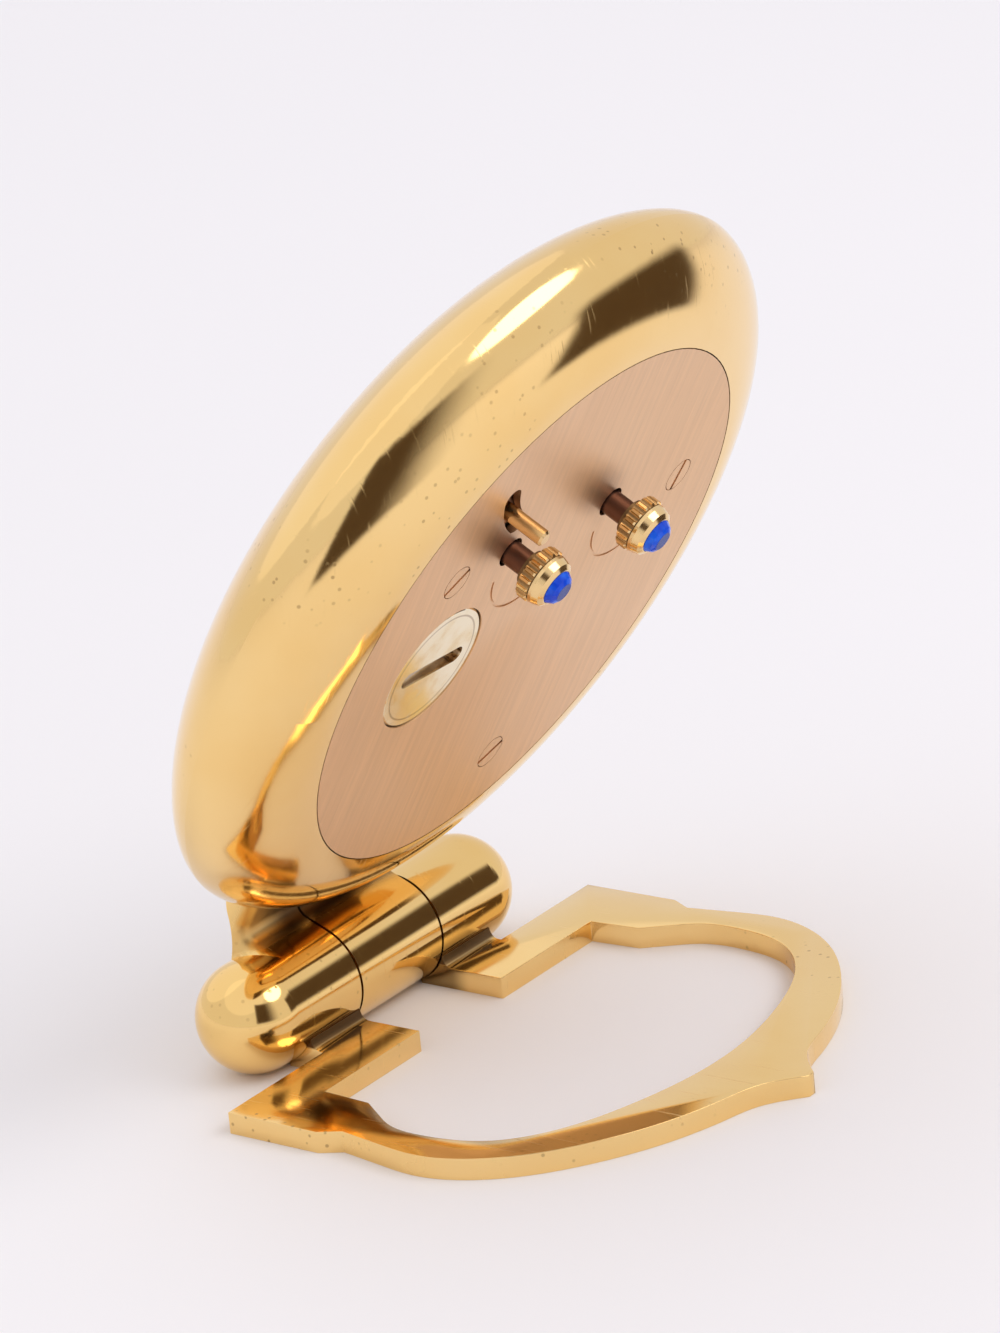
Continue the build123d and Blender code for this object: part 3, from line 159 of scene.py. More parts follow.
# %% The finish class
class Finish:
    """One material: a Principled shader and the nodes that feed it."""

    def __init__(self, name, colour, metallic, roughness, **plain):
        self.material = bpy.data.materials.new(name)
        self.material.use_nodes = True
        self.tree = self.material.node_tree
        self.shader = self.tree.nodes["Principled BSDF"]
        self.set("Base Color", (*colour, 1.0))
        self.set("Metallic", metallic)
        self.set("Roughness", roughness)
        for socket, value in plain.items():
            self.set(socket.replace("_", " "), value)

    def set(self, socket, value):
        if isinstance(value, Value):
            self.tree.links.new(value.socket, self.shader.inputs[socket])
        else:
            self.shader.inputs[socket].default_value = value

    def node(self, kind, settings=None, sockets=None, output=0):
        node = self.tree.nodes.new(kind)
        for name, value in (settings or {}).items():
            setattr(node, name, value)
        for name, value in (sockets or {}).items():
            if isinstance(value, Value):
                self.tree.links.new(value.socket, node.inputs[name])
            else:
                node.inputs[name].default_value = value
        return Value(self, node.outputs[output])

    def place(self):
        return self.node("ShaderNodeTexCoord", output="Object")

    def along(self, direction, origin=case_centre):
        """Distance in millimetres along a direction, from an origin."""
        dot = self.node(
            "ShaderNodeVectorMath",
            {"operation": "DOT_PRODUCT"},
            {0: self.place(), 1: tuple(mm * direction)},
            output="Value",
        )
        return dot - mm * origin.dot(direction)

    def from_line(self, origin, first, second):
        """Distance in millimetres from a line that is square to two directions."""
        one = self.along(first, origin)
        other = self.along(second, origin)
        return (one * one + other * other) ** 0.5

    def from_knob(self):
        """Distance in millimetres from the axis of the nearer knob."""
        alarm, time = [self.from_line(spot, across, up_dir) for spot in knob_spots.values()]
        return alarm.least(time)

    def joined(self, x, y, z=0.0):
        return self.node("ShaderNodeCombineXYZ", {}, {"X": x, "Y": y, "Z": z})

    def noise(self, where, scale, detail=2.0, roughness=0.5):
        return self.node(
            "ShaderNodeTexNoise",
            {},
            {"Vector": where, "Scale": scale, "Detail": detail, "Roughness": roughness},
        )

    def blend(self, factor, first, second):
        """Mix of two colours."""
        first, second = [
            colour if isinstance(colour, Value) else (*colour, 1.0)
            for colour in (first, second)
        ]
        return self.node(
            "ShaderNodeMix",
            {"data_type": "RGBA"},
            {"Factor": factor, 6: first, 7: second},
            output=2,
        )

    def bump(self, height, strength, distance=0.00002):
        self.set(
            "Normal",
            self.node(
                "ShaderNodeBump",
                {},
                {"Height": height, "Strength": strength, "Distance": distance},
            ),
        )

    def dress(self, *names):
        """Gives the finish to CAD nodes or to new pieces."""
        for name in names:
            piece = nodes[name] if isinstance(name, str) else name
            piece.data.materials.clear()
            piece.data.materials.append(self.material)


# %% [markdown]
# ## Placing new pieces
# A new piece is modelled upright about its own origin, where it is easy to think about, and
# a matrix then stands it on the leaning case. The matrix is applied to the mesh, so that the
# object itself stays at the world's origin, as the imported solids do.

# %% Placing a piece
def leaning(origin):
    """Matrix that stands a piece on the back of the case: x across, y up, z outwards."""
    turn = Matrix((-across, up_dir, out_dir)).transposed().to_4x4()
    return Matrix.Translation(origin) @ turn


def add_object(name, shape):
    """Turns a bmesh into an object in the scene."""
    mesh = bpy.data.meshes.new(name)
    shape.to_mesh(mesh)
    shape.free()
    piece = bpy.data.objects.new(name, mesh)
    bpy.context.scene.collection.objects.link(piece)
    return piece


def make_piece(name, shape, where, body):
    """Turns a bmesh into a piece of the clock, with its place in its mesh."""
    bmesh.ops.transform(shape, matrix=where, verts=shape.verts)
    bmesh.ops.recalc_face_normals(shape, faces=shape.faces)
    piece = add_object(name, shape)
    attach(piece, body)
    return piece


# %% [markdown]
# ## Polished gilt brass
# The shell, barrel, foot and knobs are brass with a thin gilt layer, buffed by hand. Such a
# polish is never even: it has faint cloudy patches, hair scratches that run every way, and
# small pits where the layer has worn. All three are noise, at three sizes.

# %% Polished gilt brass
# Brown used for painted shade in recesses.
painted_shade_brown = (0.07, 0.03, 0.012)
pit_brown = (0.20, 0.11, 0.04)
hair_turn = (0.6, 0.3, 0.9)
hair_scale = (4000.0, 120.0, 300.0)


def shaded(colour, factors):
    """A colour with each of its channels times its own factor."""
    return [channel * factor for channel, factor in zip(colour, factors)]


def gilt(name, colour=(0.95, 0.67, 0.29), roughness=0.075, pits=0.5, scratch=1.0, painted_shade=None):
    """Buffed gilt brass, with cloudy polish, hair scratches and a few pits.

    A painted-shade function gives two shares: where the gold is painted brown, as painted
    shade in a recess, and where the surface was left satin."""
    metal = Finish(name, colour, 1.0, roughness)
    place = metal.place()
    cloud = metal.noise(place, 70.0, 3.0)
    fine = metal.noise(place, 900.0)
    turned = metal.node(
        "ShaderNodeMapping",
        {},
        {"Vector": place, "Rotation": hair_turn, "Scale": hair_scale},
    )
    hairs = metal.noise(turned, 1.0, 1.0).ramp(0.66, 0.74)
    specks = metal.node(
        "ShaderNodeTexVoronoi", {"feature": "F1"}, {"Vector": place, "Scale": 900.0}
    )
    worn_patch = metal.noise(place, 45.0, 1.0).ramp(0.55, 0.68)
    pit = (1.0 - specks.ramp(0.10, 0.20)) * worn_patch * pits
    tone = metal.blend(cloud.ramp(0.35, 0.7), colour, shaded(colour, (0.98, 0.94, 0.86)))
    dull = roughness + 0.05 * cloud + 0.12 * hairs * scratch + 0.3 * pit
    # Painted shade: a recess that the function finds is painted brown.
    if painted_shade:
        brown, satin = painted_shade(metal)
        tone = metal.blend(brown * (0.85 + 0.15 * cloud), tone, painted_shade_brown)
        dull = dull + 0.32 * satin
    metal.set("Base Color", metal.blend(pit, tone, pit_brown))
    metal.set("Roughness", dull)
    metal.bump(0.3 * fine + 0.5 * hairs * scratch - pit, 0.12)
    return metal


case_gilt = gilt("gilt_case")
case_gilt.dress("case_shell", "lug_screws")
barrel_gold = (0.95, 0.66, 0.27)
gilt("gilt_barrel", barrel_gold, 0.06, 0.25).dress("knuckle_left")
print("nodes in the case's finish:", len(case_gilt.tree.nodes))

# %% [markdown]
# ## Brown recesses
# The hollow between the barrel and the case, and the flutes of the knobs, lie in shade, so
# the gold there is painted brown: this brown is painted shade. Painting the recess by hand
# would need a picture. A distance from the axis that the piece was turned on finds it just as
# well: past the barrel's radius on the neck, and short of the flutes' crests on a knob. Each
# pair of distances below is where a change starts and where it ends, in millimetres.

# %% Gilt with brown recesses
hinge_spot = Vector(joints["case_tilt"]["pos_m"])
barrel_reach = mm * (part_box("knuckle_left")[1][2] - hinge_spot.z)
knob_reach = mm * width("alarm_knob") / 2
knob_start = mm * level("alarm_knob", min)
neck_foot = (barrel_reach, barrel_reach + 0.6)
neck_back = (-1.6, -0.4)
neck_end = (8.0, 13.0)
skirt_top = (knob_start + 1.8, knob_start + 2.0)
flute = (knob_reach - 0.34, knob_reach - 0.1)


# Painted shade: the back of the neck, in shade under the case, is painted brown.
def neck_recess(metal):
    """Back of the neck, above the barrel, but not its near end."""
    above = metal.from_line(hinge_spot, up_dir, out_dir).ramp(*neck_foot)
    behind = metal.along(out_dir).ramp(*neck_back)
    near_end = metal.along(across, hinge_spot).ramp(*neck_end)
    hollow = above * behind
    return hollow * (1.0 - 0.85 * near_end), hollow


# Painted shade: the flute hollows and the groove above them are painted brown.
def knob_recess(metal):
    """Hollows of the flutes, and the groove above them."""
    skirt = 1.0 - metal.along(out_dir).ramp(*skirt_top)
    hollow = skirt * (1.0 - metal.from_knob().ramp(*flute))
    return 0.85 * hollow, hollow


neck_gilt = gilt("gilt_neck", barrel_gold, 0.06, 0.25, painted_shade=neck_recess)
neck_gilt.dress("knuckle_right", "hinge_lug")
knob_gilt = gilt("gilt_knob", (0.90, 0.66, 0.34), 0.13, 0.1, 0.5, knob_recess)
knob_gilt.dress("alarm_knob", "time_knob")
gilt("gilt_pin", (0.82, 0.57, 0.28), 0.16, 0.1, 0.5).dress("alarm_pin")
gilt("dull_lever", (0.42, 0.25, 0.15), 0.30, 0.2).dress("alarm_lever")
# The stems' dark brown is partly oxidised brass and partly painted shade, for the shade and dark
# reflections under the knobs.
gilt("stem_oxide_and_shade", (0.17, 0.085, 0.06), 0.32, 0.4).dress("alarm_stem", "time_stem")
print("barrel and knob radius in mm:", round(barrel_reach, 2), round(knob_reach, 2))

# %% [markdown]
# ## The brushed back plate
# The plate is a rosier brass, brushed in one direction that runs up the case. Stretching
# noise far along that direction and squeezing it across makes the fine lines. They change
# the roughness and the bump, and only a little the colour, as real brushing does.

# %% Brushed plate
def brushed(name, colour, roughness, grain=9.0, strength=0.35):
    """Metal brushed along the height of the case."""
    metal = Finish(name, colour, 1.0, roughness, Anisotropic=0.4)
    side = metal.along(across)
    rise = metal.along(up_dir)
    lines = metal.noise(metal.joined(grain * side, 0.22 * rise), 1.0, 4.0, 0.65)
    broad = metal.noise(metal.joined(1.6 * side, 0.05 * rise), 1.0)
    haze = metal.noise(metal.joined(0.05 * side, 0.06 * rise), 1.0)
    scratches = metal.noise(metal.joined(3.2 * side, 0.035 * rise, 7.0), 1.0, 0.0)
    light, dark = shaded(colour, (1.05, 1.05, 1.05)), shaded(colour, (0.88, 0.88, 0.88))
    tone = metal.blend((0.55 * lines + 0.45 * broad).ramp(0.3, 0.7), dark, light)
    metal.set("Base Color", metal.blend(0.35 * haze, tone, shaded(colour, (1.0, 0.88, 0.78))))
    metal.set("Roughness", roughness + 0.14 * (lines - 0.5) + 0.06 * haze)
    metal.bump(lines + 0.4 * broad - 0.8 * scratches.ramp(0.74, 0.78), strength)
    return metal


brushed("rose_plate", (0.82, 0.555, 0.335), 0.38).dress("back_plate", "plate_screws")
print("plate radius in mm:", round(mm * width("back_plate") / 2, 2))

# %% [markdown]
# ## The battery hatch
# The hatch is paler and polished, and coins have scratched it about its middle. The rings
# come from the distance to its axis, broken up with noise. The same distance draws the fine
# line inside its rim, and the depth below its face finds the slot, which is painted brown:
# that brown is painted shade.

# %% Polished hatch
hatch_finish = Finish("hatch_metal", (0.93, 0.80, 0.52), 1.0, 0.12)
hatch_face = mm * level("battery_hatch")
rim_start = 0.44 * mm * width("battery_hatch")
hatch_side = hatch_finish.along(across, hatch_spot)
hatch_rise = hatch_finish.along(up_dir, hatch_spot)
hatch_radius = hatch_finish.from_line(hatch_spot, across, up_dir)
rings = hatch_finish.noise(hatch_finish.joined(6.0 * hatch_radius, 0.0), 1.0, 3.0)
smear = hatch_finish.noise(hatch_finish.joined(0.35 * hatch_side, 0.35 * hatch_rise), 1.0, 3.0)
hatch_finish.set("Roughness", 0.07 + 0.08 * rings + 0.16 * smear.ramp(0.45, 0.75))
rim_line = 1.0 - (hatch_radius - rim_start).maths("ABSOLUTE").ramp(0.05, 0.13)
# Painted shade: the slot, below the face, is painted brown.
sunk = 1.0 - hatch_finish.along(out_dir).ramp(hatch_face - 0.22, hatch_face - 0.1)
bright = hatch_finish.blend(smear.ramp(0.4, 0.7), (0.94, 0.84, 0.62), (0.86, 0.70, 0.42))
rim_line_and_slot_shade = (0.6 * rim_line).most(0.75 * sunk)
hatch_finish.set("Base Color", hatch_finish.blend(rim_line_and_slot_shade, bright, (0.30, 0.17, 0.08)))
hatch_finish.bump(rings, 0.1, 0.00001)
hatch_finish.dress("battery_hatch")
print("hatch face in mm:", round(hatch_face, 2), "line at", round(rim_start, 2))

# %% [markdown]
# ## Inside the case
# Behind the plate lies a quartz movement. Little of it shows, through the curved slot and
# the stem holes, but each piece still gets the metal or plastic that it is made of.

# %% Metals and plastics of the movement
def turned_metal(name, colour, roughness):
    """Machined metal with fine turning marks."""
    metal = Finish(name, colour, 1.0, roughness)
    marks = metal.noise(metal.place(), 2500.0)
    cloud = metal.noise(metal.place(), 150.0)
    metal.set("Roughness", roughness + 0.12 * (marks - 0.5) + 0.08 * cloud)
    metal.set("Base Color", metal.blend(cloud, colour, [0.86 * c for c in colour]))
    metal.bump(marks, 0.15)
    return metal


def moulded(name, colour, roughness, speck=0.15):
    """Moulded plastic or rubber with a fine grain."""
    plastic = Finish(name, colour, 0.0, roughness)
    grain = plastic.noise(plastic.place(), 4000.0)
    cloud = plastic.noise(plastic.place(), 120.0)
    plastic.set("Base Color", plastic.blend(speck * cloud, colour, [0.5 * c for c in colour]))
    plastic.set("Roughness", roughness + 0.1 * (grain - 0.5))
    plastic.bump(grain, 0.2)
    return plastic


turned_metal("movement_brass", (0.82, 0.62, 0.30), 0.28).dress(
    "main_plate", "rear_bridge", "pillars", "plate_spacers", "piezo_disc", "alarm_idler",
    "alarm_wheel", "motion_wheel", "minute_arbor", "hour_wheel", "third_wheel",
    "seconds_wheel", "step_wheel", "clutch_wheel", "friction_washers",
)
turned_metal("bright_steel", (0.62, 0.62, 0.63), 0.25).dress(
    "hinge_pin", "clamp_screws", "pillar_screws", "battery_cell",
    "stator", "coil_core", "stator_posts", "quartz_can", "rotor",
    "negative_contact", "positive_contact", "alarm_contact", "case_clamps", "battery_cup",
)
turned_metal("copper_wire", (0.80, 0.36, 0.16), 0.3).dress("coil_winding")
moulded("grey_plastic", (0.36, 0.36, 0.37), 0.5).dress("movement_ring", "coil_bobbin")
moulded("chip_black", (0.02, 0.02, 0.02), 0.45).dress("timing_chip")
moulded("board_green", (0.03, 0.20, 0.08), 0.35, 0.4).dress("circuit_board")
moulded("seal_black", (0.03, 0.03, 0.03), 0.6).dress("crystal_gasket")
print("finishes so far:", len(bpy.data.materials))

# %% [markdown]
# ## Dial side
# The face has a cream lacquer dial under a domed crystal, with blued hands and bars. Cream
# lacquer is a smooth coat over a faintly mottled ground. The minute track is printed, so it
# has no height: the angle about the centre, in minutes, says where each stroke falls.

# %% Dial with its minute track
track_inner, track_outer = 22.4, 23.5
stroke = 0.07
ink_black = (0.02, 0.02, 0.03)
dial_finish = Finish(
    "cream_lacquer", (0.86, 0.82, 0.70), 0.0, 0.35, Coat_Weight=0.5, Coat_Roughness=0.08
)
mottle = dial_finish.noise(dial_finish.place(), 300.0, 3.0)
lacquer = dial_finish.blend(mottle, (0.88, 0.84, 0.72), (0.82, 0.77, 0.63))
dial_side = dial_finish.along(across)
dial_rise = dial_finish.along(up_dir)
dial_radius = dial_finish.from_line(case_centre, across, up_dir)
minute = dial_side.maths("ARCTAN2", dial_rise) * (30 / math.pi)
nearest = 0.5 - (minute.maths("FRACT") - 0.5).maths("ABSOLUTE")
strokes = (nearest < 30 * stroke / (math.pi * track_outer)) * (dial_radius > track_inner)
inner, outer = [
    (dial_radius - edge).maths("ABSOLUTE") < stroke / 2 for edge in (track_inner, track_outer)
]
printed = strokes.most(inner).most(outer) * (dial_radius < track_outer + stroke / 2)
dial_finish.set("Base Color", dial_finish.blend(printed, lacquer, ink_black))
dial_finish.bump(dial_finish.noise(dial_finish.place(), 2500.0), 0.1)
dial_finish.dress("dial")
print("track from", track_inner, "to", track_outer, "mm")

# %% Hands, ring and crystal
blued = Finish("blued_steel", (0.02, 0.04, 0.22), 1.0, 0.22)
tint = blued.noise(blued.place(), 160.0)
blued.set("Base Color", blued.blend(tint, (0.015, 0.03, 0.20), (0.05, 0.05, 0.28)))
blued.set("Roughness", 0.16 + 0.12 * tint)
blued.dress("hour_hand", "minute_hand", "seconds_hand", "hour_markers")

alarm_lacquer = Finish("red_lacquer", (0.45, 0.03, 0.02), 0.0, 0.3, Coat_Weight=0.6)
alarm_lacquer.set("Roughness", 0.25 + 0.1 * alarm_lacquer.noise(alarm_lacquer.place(), 900.0))
alarm_lacquer.dress("alarm_hand")

turned_metal("slope_gilt", (0.90, 0.68, 0.34), 0.22).dress("rehaut_ring")

glass = Finish("crystal_glass", (1.0, 1.0, 1.0), 0.0, 0.02, Transmission_Weight=1.0, IOR=1.5)
glass.set("Roughness", 0.01 + 0.03 * glass.noise(glass.place(), 60.0).ramp(0.5, 0.8))
glass.dress("crystal")
print("finishes so far:", len(bpy.data.materials))

# %% [markdown]
# ## Numerals
# Twelve plain numerals stand upright inside the bars. Blender's own font gives their
# outlines. Each is turned into a mesh before it is placed, and all twelve make one piece,
# since they are printed in one go.

# %% Numerals
numeral_radius = 0.0186
numeral_height = 0.0040
ink_thickness = 0.00001
front_of_dial = level("dial", min)


def printed_numerals():
    """Numerals 1 to 12, each upright at its own hour, as one piece."""
    shape = bmesh.new()
    facing = Matrix((across, up_dir, -out_dir)).transposed().to_4x4()
    for hour in range(1, 13):
        words = bpy.data.curves.new("numeral", "FONT")
        words.body = str(hour)
        words.size = numeral_height
        words.extrude = ink_thickness
        words.align_x = "CENTER"
        words.align_y = "CENTER"
        writing = bpy.data.objects.new("numeral", words)
        mesh = bpy.data.meshes.new_from_object(writing)
        angle = math.radians(30 * hour)
        spot = across * math.sin(angle) + up_dir * math.cos(angle)
        place = case_centre + spot * numeral_radius + out_dir * front_of_dial
        mesh.transform(Matrix.Translation(place) @ facing)
        shape.from_mesh(mesh)
        bpy.data.objects.remove(writing)
        bpy.data.curves.remove(words)
        bpy.data.meshes.remove(mesh)
    return make_piece("dial_numerals", shape, Matrix(), "case")


ink = Finish("dial_ink", ink_black, 0.0, 0.4)
ink.set("Roughness", 0.35 + 0.1 * ink.noise(ink.place(), 1500.0))
ink.dress(printed_numerals())
print("front of the dial in mm:", round(mm * front_of_dial, 2))

# %% [markdown]
# ## The blue stones
# Each knob ends in a blue stone set in the cone. It is cut with a flat table on top and a
# ring of facets, so the facets flash. The middle of the table is painted near-black blue,
# a painted dark reflection, so it looks dark. It has 16 sides and grows in three steps: a
# straight girdle, a steep ring of facets and a flatter one.

# %% Blue stones
stone_radius = width("alarm_cabochon") / 2
stone_sides = 16
stone_gap = 0.00002
girdle = 0.00025
crown = 0.0003
crown_below_top = 0.0004
facet_share, table_share = 0.82, 0.56
facet_bevel = 0.00005
stone_finish = Finish(
    "blue_stone", (0.01, 0.06, 0.72), 0.0, 0.04, IOR=1.45, Specular_IOR_Level=0.3
)
depth = stone_finish.noise(stone_finish.place(), 700.0)
# Painted dark reflection: the middle of the table is painted near-black blue.
table = 1.0 - stone_finish.from_knob().ramp(0.50 * mm * stone_radius, 0.62 * mm * stone_radius)
facets = stone_finish.blend(depth.ramp(0.35, 0.7), (0.008, 0.06, 0.62), (0.02, 0.16, 0.90))
stone_finish.set("Base Color", stone_finish.blend(0.85 * table, facets, (0.002, 0.012, 0.16)))
stone_finish.set("Roughness", 0.04 + 0.08 * depth)


def cut_stone(name, spot, body, node):
    """Faceted stone in place of a round one, grown ring by ring from its girdle."""
    low = level(node, min) + stone_gap
    steep = level(node) - low - girdle - crown_below_top
    stone = bmesh.new()
    bmesh.ops.create_circle(stone, cap_ends=True, segments=stone_sides, radius=stone_radius)
    base = stone.faces[:]
    radius = 1.0
    for rise, ring in ((girdle, 1.0), (steep, facet_share), (crown, table_share)):
        grown = bmesh.ops.extrude_face_region(stone, geom=base)
        base = [part for part in grown["geom"] if isinstance(part, bmesh.types.BMFace)]
        corners = [part for part in grown["geom"] if isinstance(part, bmesh.types.BMVert)]
        bmesh.ops.translate(stone, vec=(0, 0, rise), verts=corners)
        share = ring / radius
        bmesh.ops.scale(stone, vec=(share, share, 1), verts=corners)
        radius = ring
    edges = [edge for edge in stone.edges if edge.calc_face_angle(0) > 0.3]
    bmesh.ops.bevel(
        stone, geom=edges, offset=facet_bevel, segments=2, profile=0.5, affect="EDGES",
        material=-1,
    )
    piece = make_piece(name, stone, leaning(spot + out_dir * low), body)
    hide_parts(node)
    stone_finish.dress(piece)
    return piece


cut_stone("alarm_stone", knob_spots["alarm"], "alarm_setting", "alarm_cabochon")
cut_stone("time_stone", knob_spots["time"], "time_setting", "time_cabochon")
print("stone radius in mm:", round(mm * stone_radius, 2))

# %% [markdown]
# ## The foot's edges
# The foot is cut from flat stock and buffed, so its edges are a little round and each one
# draws a bright line. The imported solid has sharp edges. A copy of its mesh is cleaned into
# flat faces and beveled, and stands in for it. Its gold is painted brown too, as painted shade
# and painted dark reflection, under the barrel and along the inside of the near arm. Heights
# are over the table, and distances behind are from the hinge, in pairs as before.

# %% Foot with buffed edges
weld = 0.000002
foot_bevel = 0.00018
foot_shape = bmesh.new()
foot_shape.from_mesh(nodes["foot_ring"].data)
bmesh.ops.remove_doubles(foot_shape, verts=foot_shape.verts, dist=weld)
bmesh.ops.dissolve_limit(
    foot_shape, angle_limit=math.radians(1), verts=foot_shape.verts, edges=foot_shape.edges
)
sharp = [edge for edge in foot_shape.edges if edge.calc_face_angle(0) > math.radians(50)]
bmesh.ops.bevel(
    foot_shape, geom=sharp, offset=foot_bevel, segments=3, profile=0.5, affect="EDGES",
    clamp_overlap=True, material=-1,
)
for face in foot_shape.faces:
    face.smooth = True
foot_piece = make_piece("foot_frame", foot_shape, Matrix(), "foot")
foot_piece.data.set_sharp_from_angle(angle=math.radians(40))
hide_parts("foot_ring")
print("foot faces:", len(foot_piece.data.polygons))

# %% Brown places on the foot
world_up, world_back = Vector((0, 0, 1)), Vector((0, 1, 0))
top_face = (1.9, 2.05)
cove_height = (2.1, 2.4)
tab_root, tab_side = (5.6, 8.0), (13.0, 14.0)
arm_inner, arm_outer = (20.4, 21.4), (26.0, 27.2)
arm_start, arm_end = (10.2, 11.6), (26.0, 40.0)
narrowing, narrowed = (22.0, 30.0), 2.0


# Painted shade and painted dark reflection: the cove and tabs by the barrel, and the near arm's
# waist and inner edge, are painted brown.
def foot_recess(metal):
    """Cove and tabs next to the barrel, and the waist and inner edge of the near arm."""
    side = metal.along(across)
    behind = metal.along(world_back, hinge_spot)
    height = metal.along(world_up, Vector())
    cove = height.ramp(*cove_height)
    root = (1.0 - behind.ramp(*tab_root)) * (1.0 - side.maths("ABSOLUTE").ramp(*tab_side))
    inside = 1.0 - (side + narrowed * behind.ramp(*narrowing)).ramp(*arm_outer)
    length = behind.ramp(*arm_start) * (1.0 - behind.ramp(*arm_end))
    arm = inside * side.ramp(*arm_inner) * length * height.ramp(*top_face)
    return cove.most(0.75 * root).most(0.68 * arm), cove


foot_gilt = gilt("gilt_foot", roughness=0.10, scratch=1.4, painted_shade=foot_recess)
foot_gilt.dress(foot_piece)
print("nodes in the foot's finish:", len(foot_gilt.tree.nodes))

# %% [markdown]
# ## Floor and light
# The floor is a wide pale disc. The light is soft and comes from all round, because a
# polished case shows its surroundings more than its own colour. Two dark cards, or flags,
# stand round the clock. They give the gold its dark streaks, and only reflections can see
# them. Each one fades out at its edges, since a hard edge would show in the gold.

# %% Floor
floor_radius = 3.0
floor_shape = bmesh.new()
bmesh.ops.create_circle(floor_shape, cap_ends=True, segments=96, radius=floor_radius)
floor = add_object("floor", floor_shape)
paper = Finish("pale_floor", (0.90, 0.885, 0.905), 0.0, 0.6, Specular_IOR_Level=0.2)
fibres = paper.noise(paper.place(), 6.0)
paper.set("Base Color", paper.blend(fibres, (0.91, 0.895, 0.915), (0.885, 0.87, 0.89)))
paper.dress(floor)
print("floor across in m:", 2 * floor_radius)

# %% Flags
card_distance = 0.13
card_steps = 24
start_fade = 5
bottom_fade, top_fade = 0.012, 0.02
cloth_brown = (0.10, 0.072, 0.048)


def flag(name, start, end, bottom, top, fade):
    """Dark curved card round the clock, between two bearings in degrees from +X.

    Its far end fades out over a number of degrees."""
    card = bmesh.new()
    foot_vert, top_vert = [
        bmesh.ops.create_vert(card, co=(card_distance, 0, height))["vert"][0]
        for height in (bottom, top)
    ]
    edge = card.edges.new((foot_vert, top_vert))
    turn = Matrix.Rotation(math.radians(start), 3, "Z")
    bmesh.ops.rotate(card, cent=(0, 0, 0), matrix=turn, verts=card.verts)
    bmesh.ops.spin(
        card, geom=[edge], cent=(0, 0, 0), axis=(0, 0, 1), angle=math.radians(end - start),
        steps=card_steps, use_merge=False,
    )
    piece = add_object(name, card)
    piece.visible_camera = False
    piece.visible_diffuse = False
    piece.visible_shadow = False
    piece.visible_transmission = False
    cloth = Finish(name + "_cloth", cloth_brown, 0.0, 0.9, Specular_IOR_Level=0.0)
    x, y, z = [
        cloth.node("ShaderNodeSeparateXYZ", {}, {"Vector": cloth.place()}, output=axis)
        for axis in "XYZ"
    ]
    bearing = y.maths("ARCTAN2", x) * math.degrees(1)
    sides = bearing.ramp(start, start + start_fade) * (1.0 - bearing.ramp(end - fade, end))
    ends = z.ramp(bottom, bottom + bottom_fade) * (1.0 - z.ramp(top - top_fade, top))
    cloth.set("Alpha", sides * ends)
    cloth.dress(piece)
    return piece


flags = [
    flag("flag_near", 30, 88, 0.012, 0.135, 34),
    flag("flag_side", 114, 160, 0.008, 0.092, 6),
]
print("flags:", [card.name for card in flags])

# %% Soft lamps
lamp_aim = Vector((0, 0, 0.04))


def soft_lamp(name, bearing, elevation, distance, size, power, colour=(1.0, 0.98, 0.95)):
    """Oval lamp aimed at the case, with its angles in degrees and its power in watts."""
    lamp = bpy.data.lights.new(name, "AREA")
    lamp.shape = "ELLIPSE"
    lamp.size, lamp.size_y = size
    lamp.energy = power
    lamp.color = colour
    piece = bpy.data.objects.new(name, lamp)
    turn, rise = math.radians(bearing), math.radians(elevation)
    flat = math.cos(rise)
    way = Vector((flat * math.cos(turn), flat * math.sin(turn), math.sin(rise)))
    piece.location = way * distance + lamp_aim
    piece.rotation_mode = "QUATERNION"
    piece.rotation_quaternion = way.to_track_quat("Z", "Y")
    bpy.context.scene.collection.objects.link(piece)


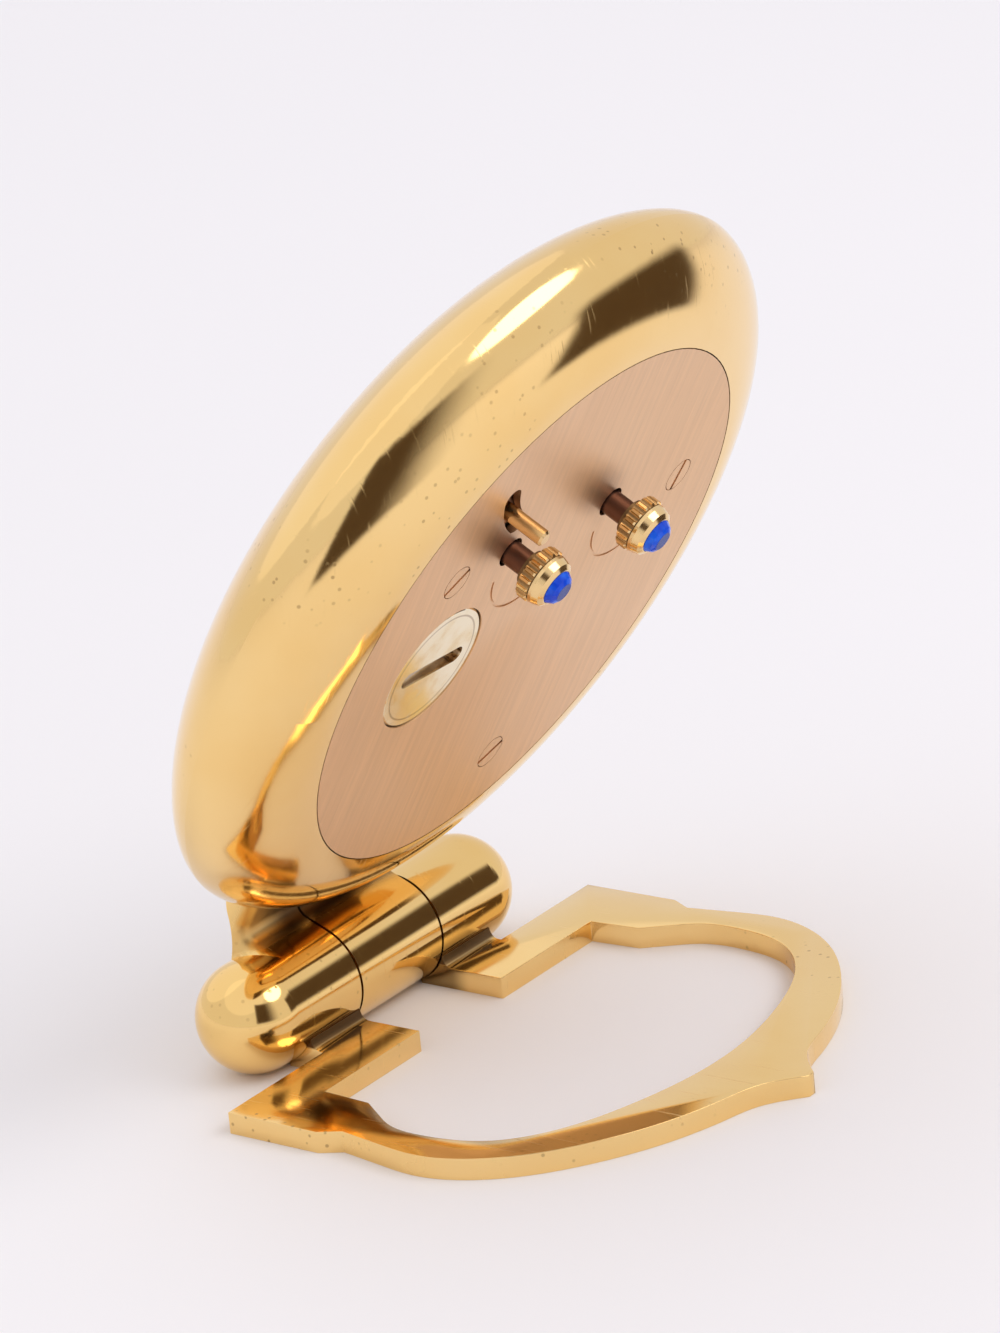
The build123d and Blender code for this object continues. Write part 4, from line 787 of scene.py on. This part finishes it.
soft_lamp("lamp_key", 108, 48, 1.2, (0.9, 0.6), 3.4)
soft_lamp("lamp_fill", 10, 60, 2.2, (3.4, 3.4), 3.8)
soft_lamp("lamp_front", -95, 45, 2.2, (3.4, 3.0), 3.8)

world = bpy.data.worlds.new("studio")
bpy.context.scene.world = world
world.use_nodes = True
backdrop = world.node_tree.nodes["Background"]
backdrop.inputs["Color"].default_value = (0.93, 0.915, 0.95, 1.0)
backdrop.inputs["Strength"].default_value = 0.87
print("lamps:", [lamp.name for lamp in bpy.data.lights])

# %% [markdown]
# ## Camera
# The photograph was taken from behind and to one side with a long lens, a little above the
# clock. The camera stands 0.665 m from a point inside the clock, 35 mm above the table. It
# is rolled by almost 6 degrees, because the clock stands slightly turned in the picture.
# Its angles are in radians here, and its lens is worked out from a focal length in pixels.

# %% Camera
aim = Vector((0.0, -0.00741, 0.035))
camera_distance = 0.66506
camera_bearing = 0.660262
camera_elevation = 0.360362
camera_roll = -0.101777
focal_pixels = 7374.2
picture_height = 1333
off_axis = (43.55, 9.70)

away = Vector((
    math.cos(camera_elevation) * math.cos(camera_bearing),
    math.cos(camera_elevation) * math.sin(camera_bearing),
    math.sin(camera_elevation),
))
side_dir = (-away).cross(Vector((0, 0, 1))).normalized()
rise_dir = side_dir.cross(-away)
rolled_side = math.cos(camera_roll) * side_dir + math.sin(camera_roll) * rise_dir
rolled_rise = -math.sin(camera_roll) * side_dir + math.cos(camera_roll) * rise_dir
off_side, off_rise = [pixels / focal_pixels for pixels in off_axis]
look = (-away + rolled_side * off_side + rolled_rise * off_rise).normalized()
view_side = look.cross(rolled_rise).normalized()
view_rise = view_side.cross(look)

lens = bpy.data.cameras.new("camera")
lens.sensor_width = 36.0
lens.lens = focal_pixels / picture_height * lens.sensor_width
lens.clip_start, lens.clip_end = 0.01, 20.0
camera = bpy.data.objects.new("camera", lens)
bpy.context.scene.collection.objects.link(camera)
camera.rotation_mode = "QUATERNION"
camera.location = aim + away * camera_distance
camera.rotation_quaternion = Matrix((view_side, view_rise, -look)).transposed().to_quaternion()
bpy.context.scene.camera = camera
bpy.context.scene.view_settings.view_transform = "Standard"
print("lens in mm:", round(lens.lens, 1))
